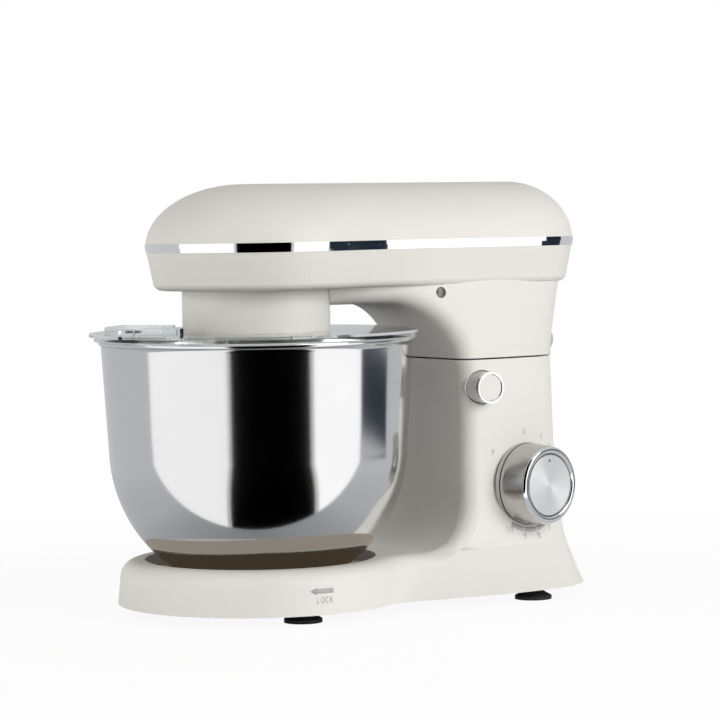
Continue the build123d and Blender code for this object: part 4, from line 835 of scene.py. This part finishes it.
def make_table():
    """Table behind its edge as a glowing card seen only in bright metal, with painted shade: darker in front
    of the bowl, lighter to both sides.
    """
    towards, aside = camera_ways()
    middle = np.array((0.0, AXIS_Y, TABLE_LIFT))
    across = np.array([[-TABLE_REACH], [TABLE_REACH]]) * aside
    rows = [middle + along * towards + across for along in (TABLE_EDGE, -TABLE_REACH)]
    tree, shader = reflector("card_table", rows, WHITE, 1.0)
    sideways = tree.nodes.new("ShaderNodeVectorMath")
    sideways.operation = "DOT_PRODUCT"
    sideways.inputs[1].default_value = aside
    tree.links.new(object_place(tree), sideways.inputs[0])
    from_line = tree.nodes.new("ShaderNodeMath")
    from_line.operation = "SUBTRACT"
    from_line.inputs[1].default_value = float(middle @ aside)
    tree.links.new(sideways.outputs["Value"], from_line.inputs[0])
    either_side = tree.nodes.new("ShaderNodeMath")
    either_side.operation = "ABSOLUTE"
    tree.links.new(from_line.outputs["Value"], either_side.inputs[0])
    # Painted shade: the card's glow grows lighter away from the camera's line
    ramp = tree.nodes.new("ShaderNodeValToRGB")
    ramp.color_ramp.elements.remove(ramp.color_ramp.elements[1])
    for index, (place, grey) in enumerate(TABLE_SHADE_TONES):
        stop = ramp.color_ramp.elements.new(place) if index else ramp.color_ramp.elements[0]
        stop.position = place
        stop.color = (*(grey * tint for tint in TABLE_TINT), 1.0)
    tree.links.new(either_side.outputs["Value"], ramp.inputs["Fac"])
    tree.links.new(ramp.outputs["Color"], shader.inputs["Emission Color"])


def make_reflections():
    """Studio seen in bright metal: a black gap behind the camera, soft boxes beside it, the table with
    painted shade, and painted shade over the seat and ledge.
    """
    card("card_black", BLACK_TURNS, BLACK, 0.0)
    card("card_left", LEFT_TURNS, WHITE, LEFT_GLOW)
    card("card_right", RIGHT_TURNS, WHITE, RIGHT_GLOW)
    make_blue_strip()
    make_table()
    # Painted shade: dark cards over the seat and the ledge, seen only in the bowl's foot
    turns = np.linspace(-math.pi, math.pi, SHADE_STEPS)
    seat = [round_bowl(turns, distance, SEAT_SHADE_Z) for distance in (SEAT_SHADE_IN, SEAT_SHADE_OUT)]
    ledge = [round_bowl(turns, distance, LEDGE_SHADE_Z) for distance in (SEAT_SHADE_OUT, LEDGE_SHADE_OUT)]
    reflector("card_seat_shade", seat, SEAT_SHADE_TONE, 1.0)
    reflector("card_ledge_shade", ledge, LEDGE_SHADE_TONE, 1.0)


def make_lights():
    """Large soft lamp to the right of the camera, a low one to its left and a weak one above."""
    for name, place, size, power in LAMPS:
        data = bpy.data.lights.new(name, "AREA")
        data.shape = "SQUARE"
        data.size = size
        data.energy = power
        lamp = put_in_scene(name, data)
        lamp.location = place
        lamp.rotation_euler = (Vector(LAMP_TARGET) - Vector(place)).to_track_quat("-Z", "Y").to_euler()
        lamp.visible_glossy = False


def make_camera():
    """Camera placed and aimed as in the photo."""
    data = bpy.data.cameras.new("camera")
    data.lens = LENS
    data.sensor_width = SENSOR
    camera = put_in_scene("camera", data)
    turn = Matrix.Rotation(CAMERA_TURN + CAMERA_TRIM, 4, "Z")
    pitch = Matrix.Rotation(math.pi / 2 - CAMERA_PITCH, 4, "X")
    roll = Matrix.Rotation(CAMERA_ROLL, 4, "Z")
    camera.matrix_world = Matrix.Translation(CAMERA_PLACE) @ turn @ pitch @ roll
    bpy.context.scene.camera = camera


def dress_construction(finishes, satin):
    """Gives every shown construction node the finish of its slot, and the dial's seat that of its skirt."""
    slots = {entry["node"]: entry["material_slot"] for entry in frame["record"]["subparts"]}
    for name, node in frame["nodes"].items():
        finish = satin if name == "dial_bezel" else finishes[slots[name]]
        node.data.materials.clear()
        node.data.materials.append(finish)


def make_finishes():
    """One finish for each material slot."""
    return {
        "housing": plastic(
            "cream_plastic", (0.725, 0.715, 0.69), (0.765, 0.755, 0.73), 0.42, 0.55, 2600.0, 0.00004),
        "chrome": metal(
            "bright_chrome", (0.8, 0.81, 0.82), (0.88, 0.88, 0.89), 0.03, 0.08, 900.0, 0.00001),
        "steel": bowl_steel(),
        "clear": clear_plastic(),
        "turned": spun_aluminium(),
        "cast": metal(
            "cast_aluminium", (0.5, 0.51, 0.52), (0.62, 0.63, 0.64), 0.35, 0.55, 700.0, 0.0001),
        "dark": plastic(
            "dark_plastic", (0.03, 0.03, 0.032), (0.05, 0.05, 0.052), 0.45, 0.6, 1500.0, 0.00006),
        "rubber": plastic(
            "black_rubber", (0.012, 0.012, 0.013), (0.025, 0.025, 0.027), 0.6, 0.8, 1200.0, 0.0001),
        "nylon": plastic("nylon", (0.7, 0.69, 0.64), (0.78, 0.77, 0.72), 0.35, 0.5, 900.0, 0.00005),
        "gear_steel": metal(
            "machined_steel", (0.42, 0.43, 0.45), (0.56, 0.57, 0.58), 0.22, 0.4, 1400.0, 0.00003),
        "bronze": metal(
            "sintered_bronze", (0.5, 0.34, 0.18), (0.6, 0.43, 0.25), 0.35, 0.55, 1800.0, 0.00005),
        "board": plastic(
            "board_laminate", (0.04, 0.17, 0.08), (0.06, 0.22, 0.1), 0.3, 0.45, 600.0, 0.00004),
        "magnet": plastic("magnet", (0.05, 0.05, 0.052), (0.09, 0.09, 0.09), 0.5, 0.7, 1500.0, 0.00005),
        "winding": metal("laminations", (0.36, 0.22, 0.13), (0.5, 0.34, 0.22), 0.3, 0.5, 1100.0, 0.00005),
    }


GLYPHS = glyphs()
finishes = make_finishes()
satin = metal("satin_chrome", (0.48, 0.47, 0.45), (0.56, 0.55, 0.53), 0.2, 0.3, 1400.0, 0.00002)
ink = plastic("grey_ink", (0.4, 0.4, 0.41), (0.46, 0.46, 0.47), 0.5, 0.65, 1800.0, 0.00002)
screw = metal("dull_screw", (0.3, 0.27, 0.23), (0.38, 0.35, 0.3), 0.4, 0.55, 1400.0, 0.00002)
dress_construction(finishes, satin)
make_bowl(finishes["steel"])
make_dial(finishes["chrome"], satin, finishes["turned"], finishes["dark"])
make_dial_marks(ink)
make_lock_mark(ink)
make_neck_screws(screw)
make_stage()
make_reflections()
make_lights()
make_camera()
bpy.context.scene.view_settings.view_transform = "Standard"
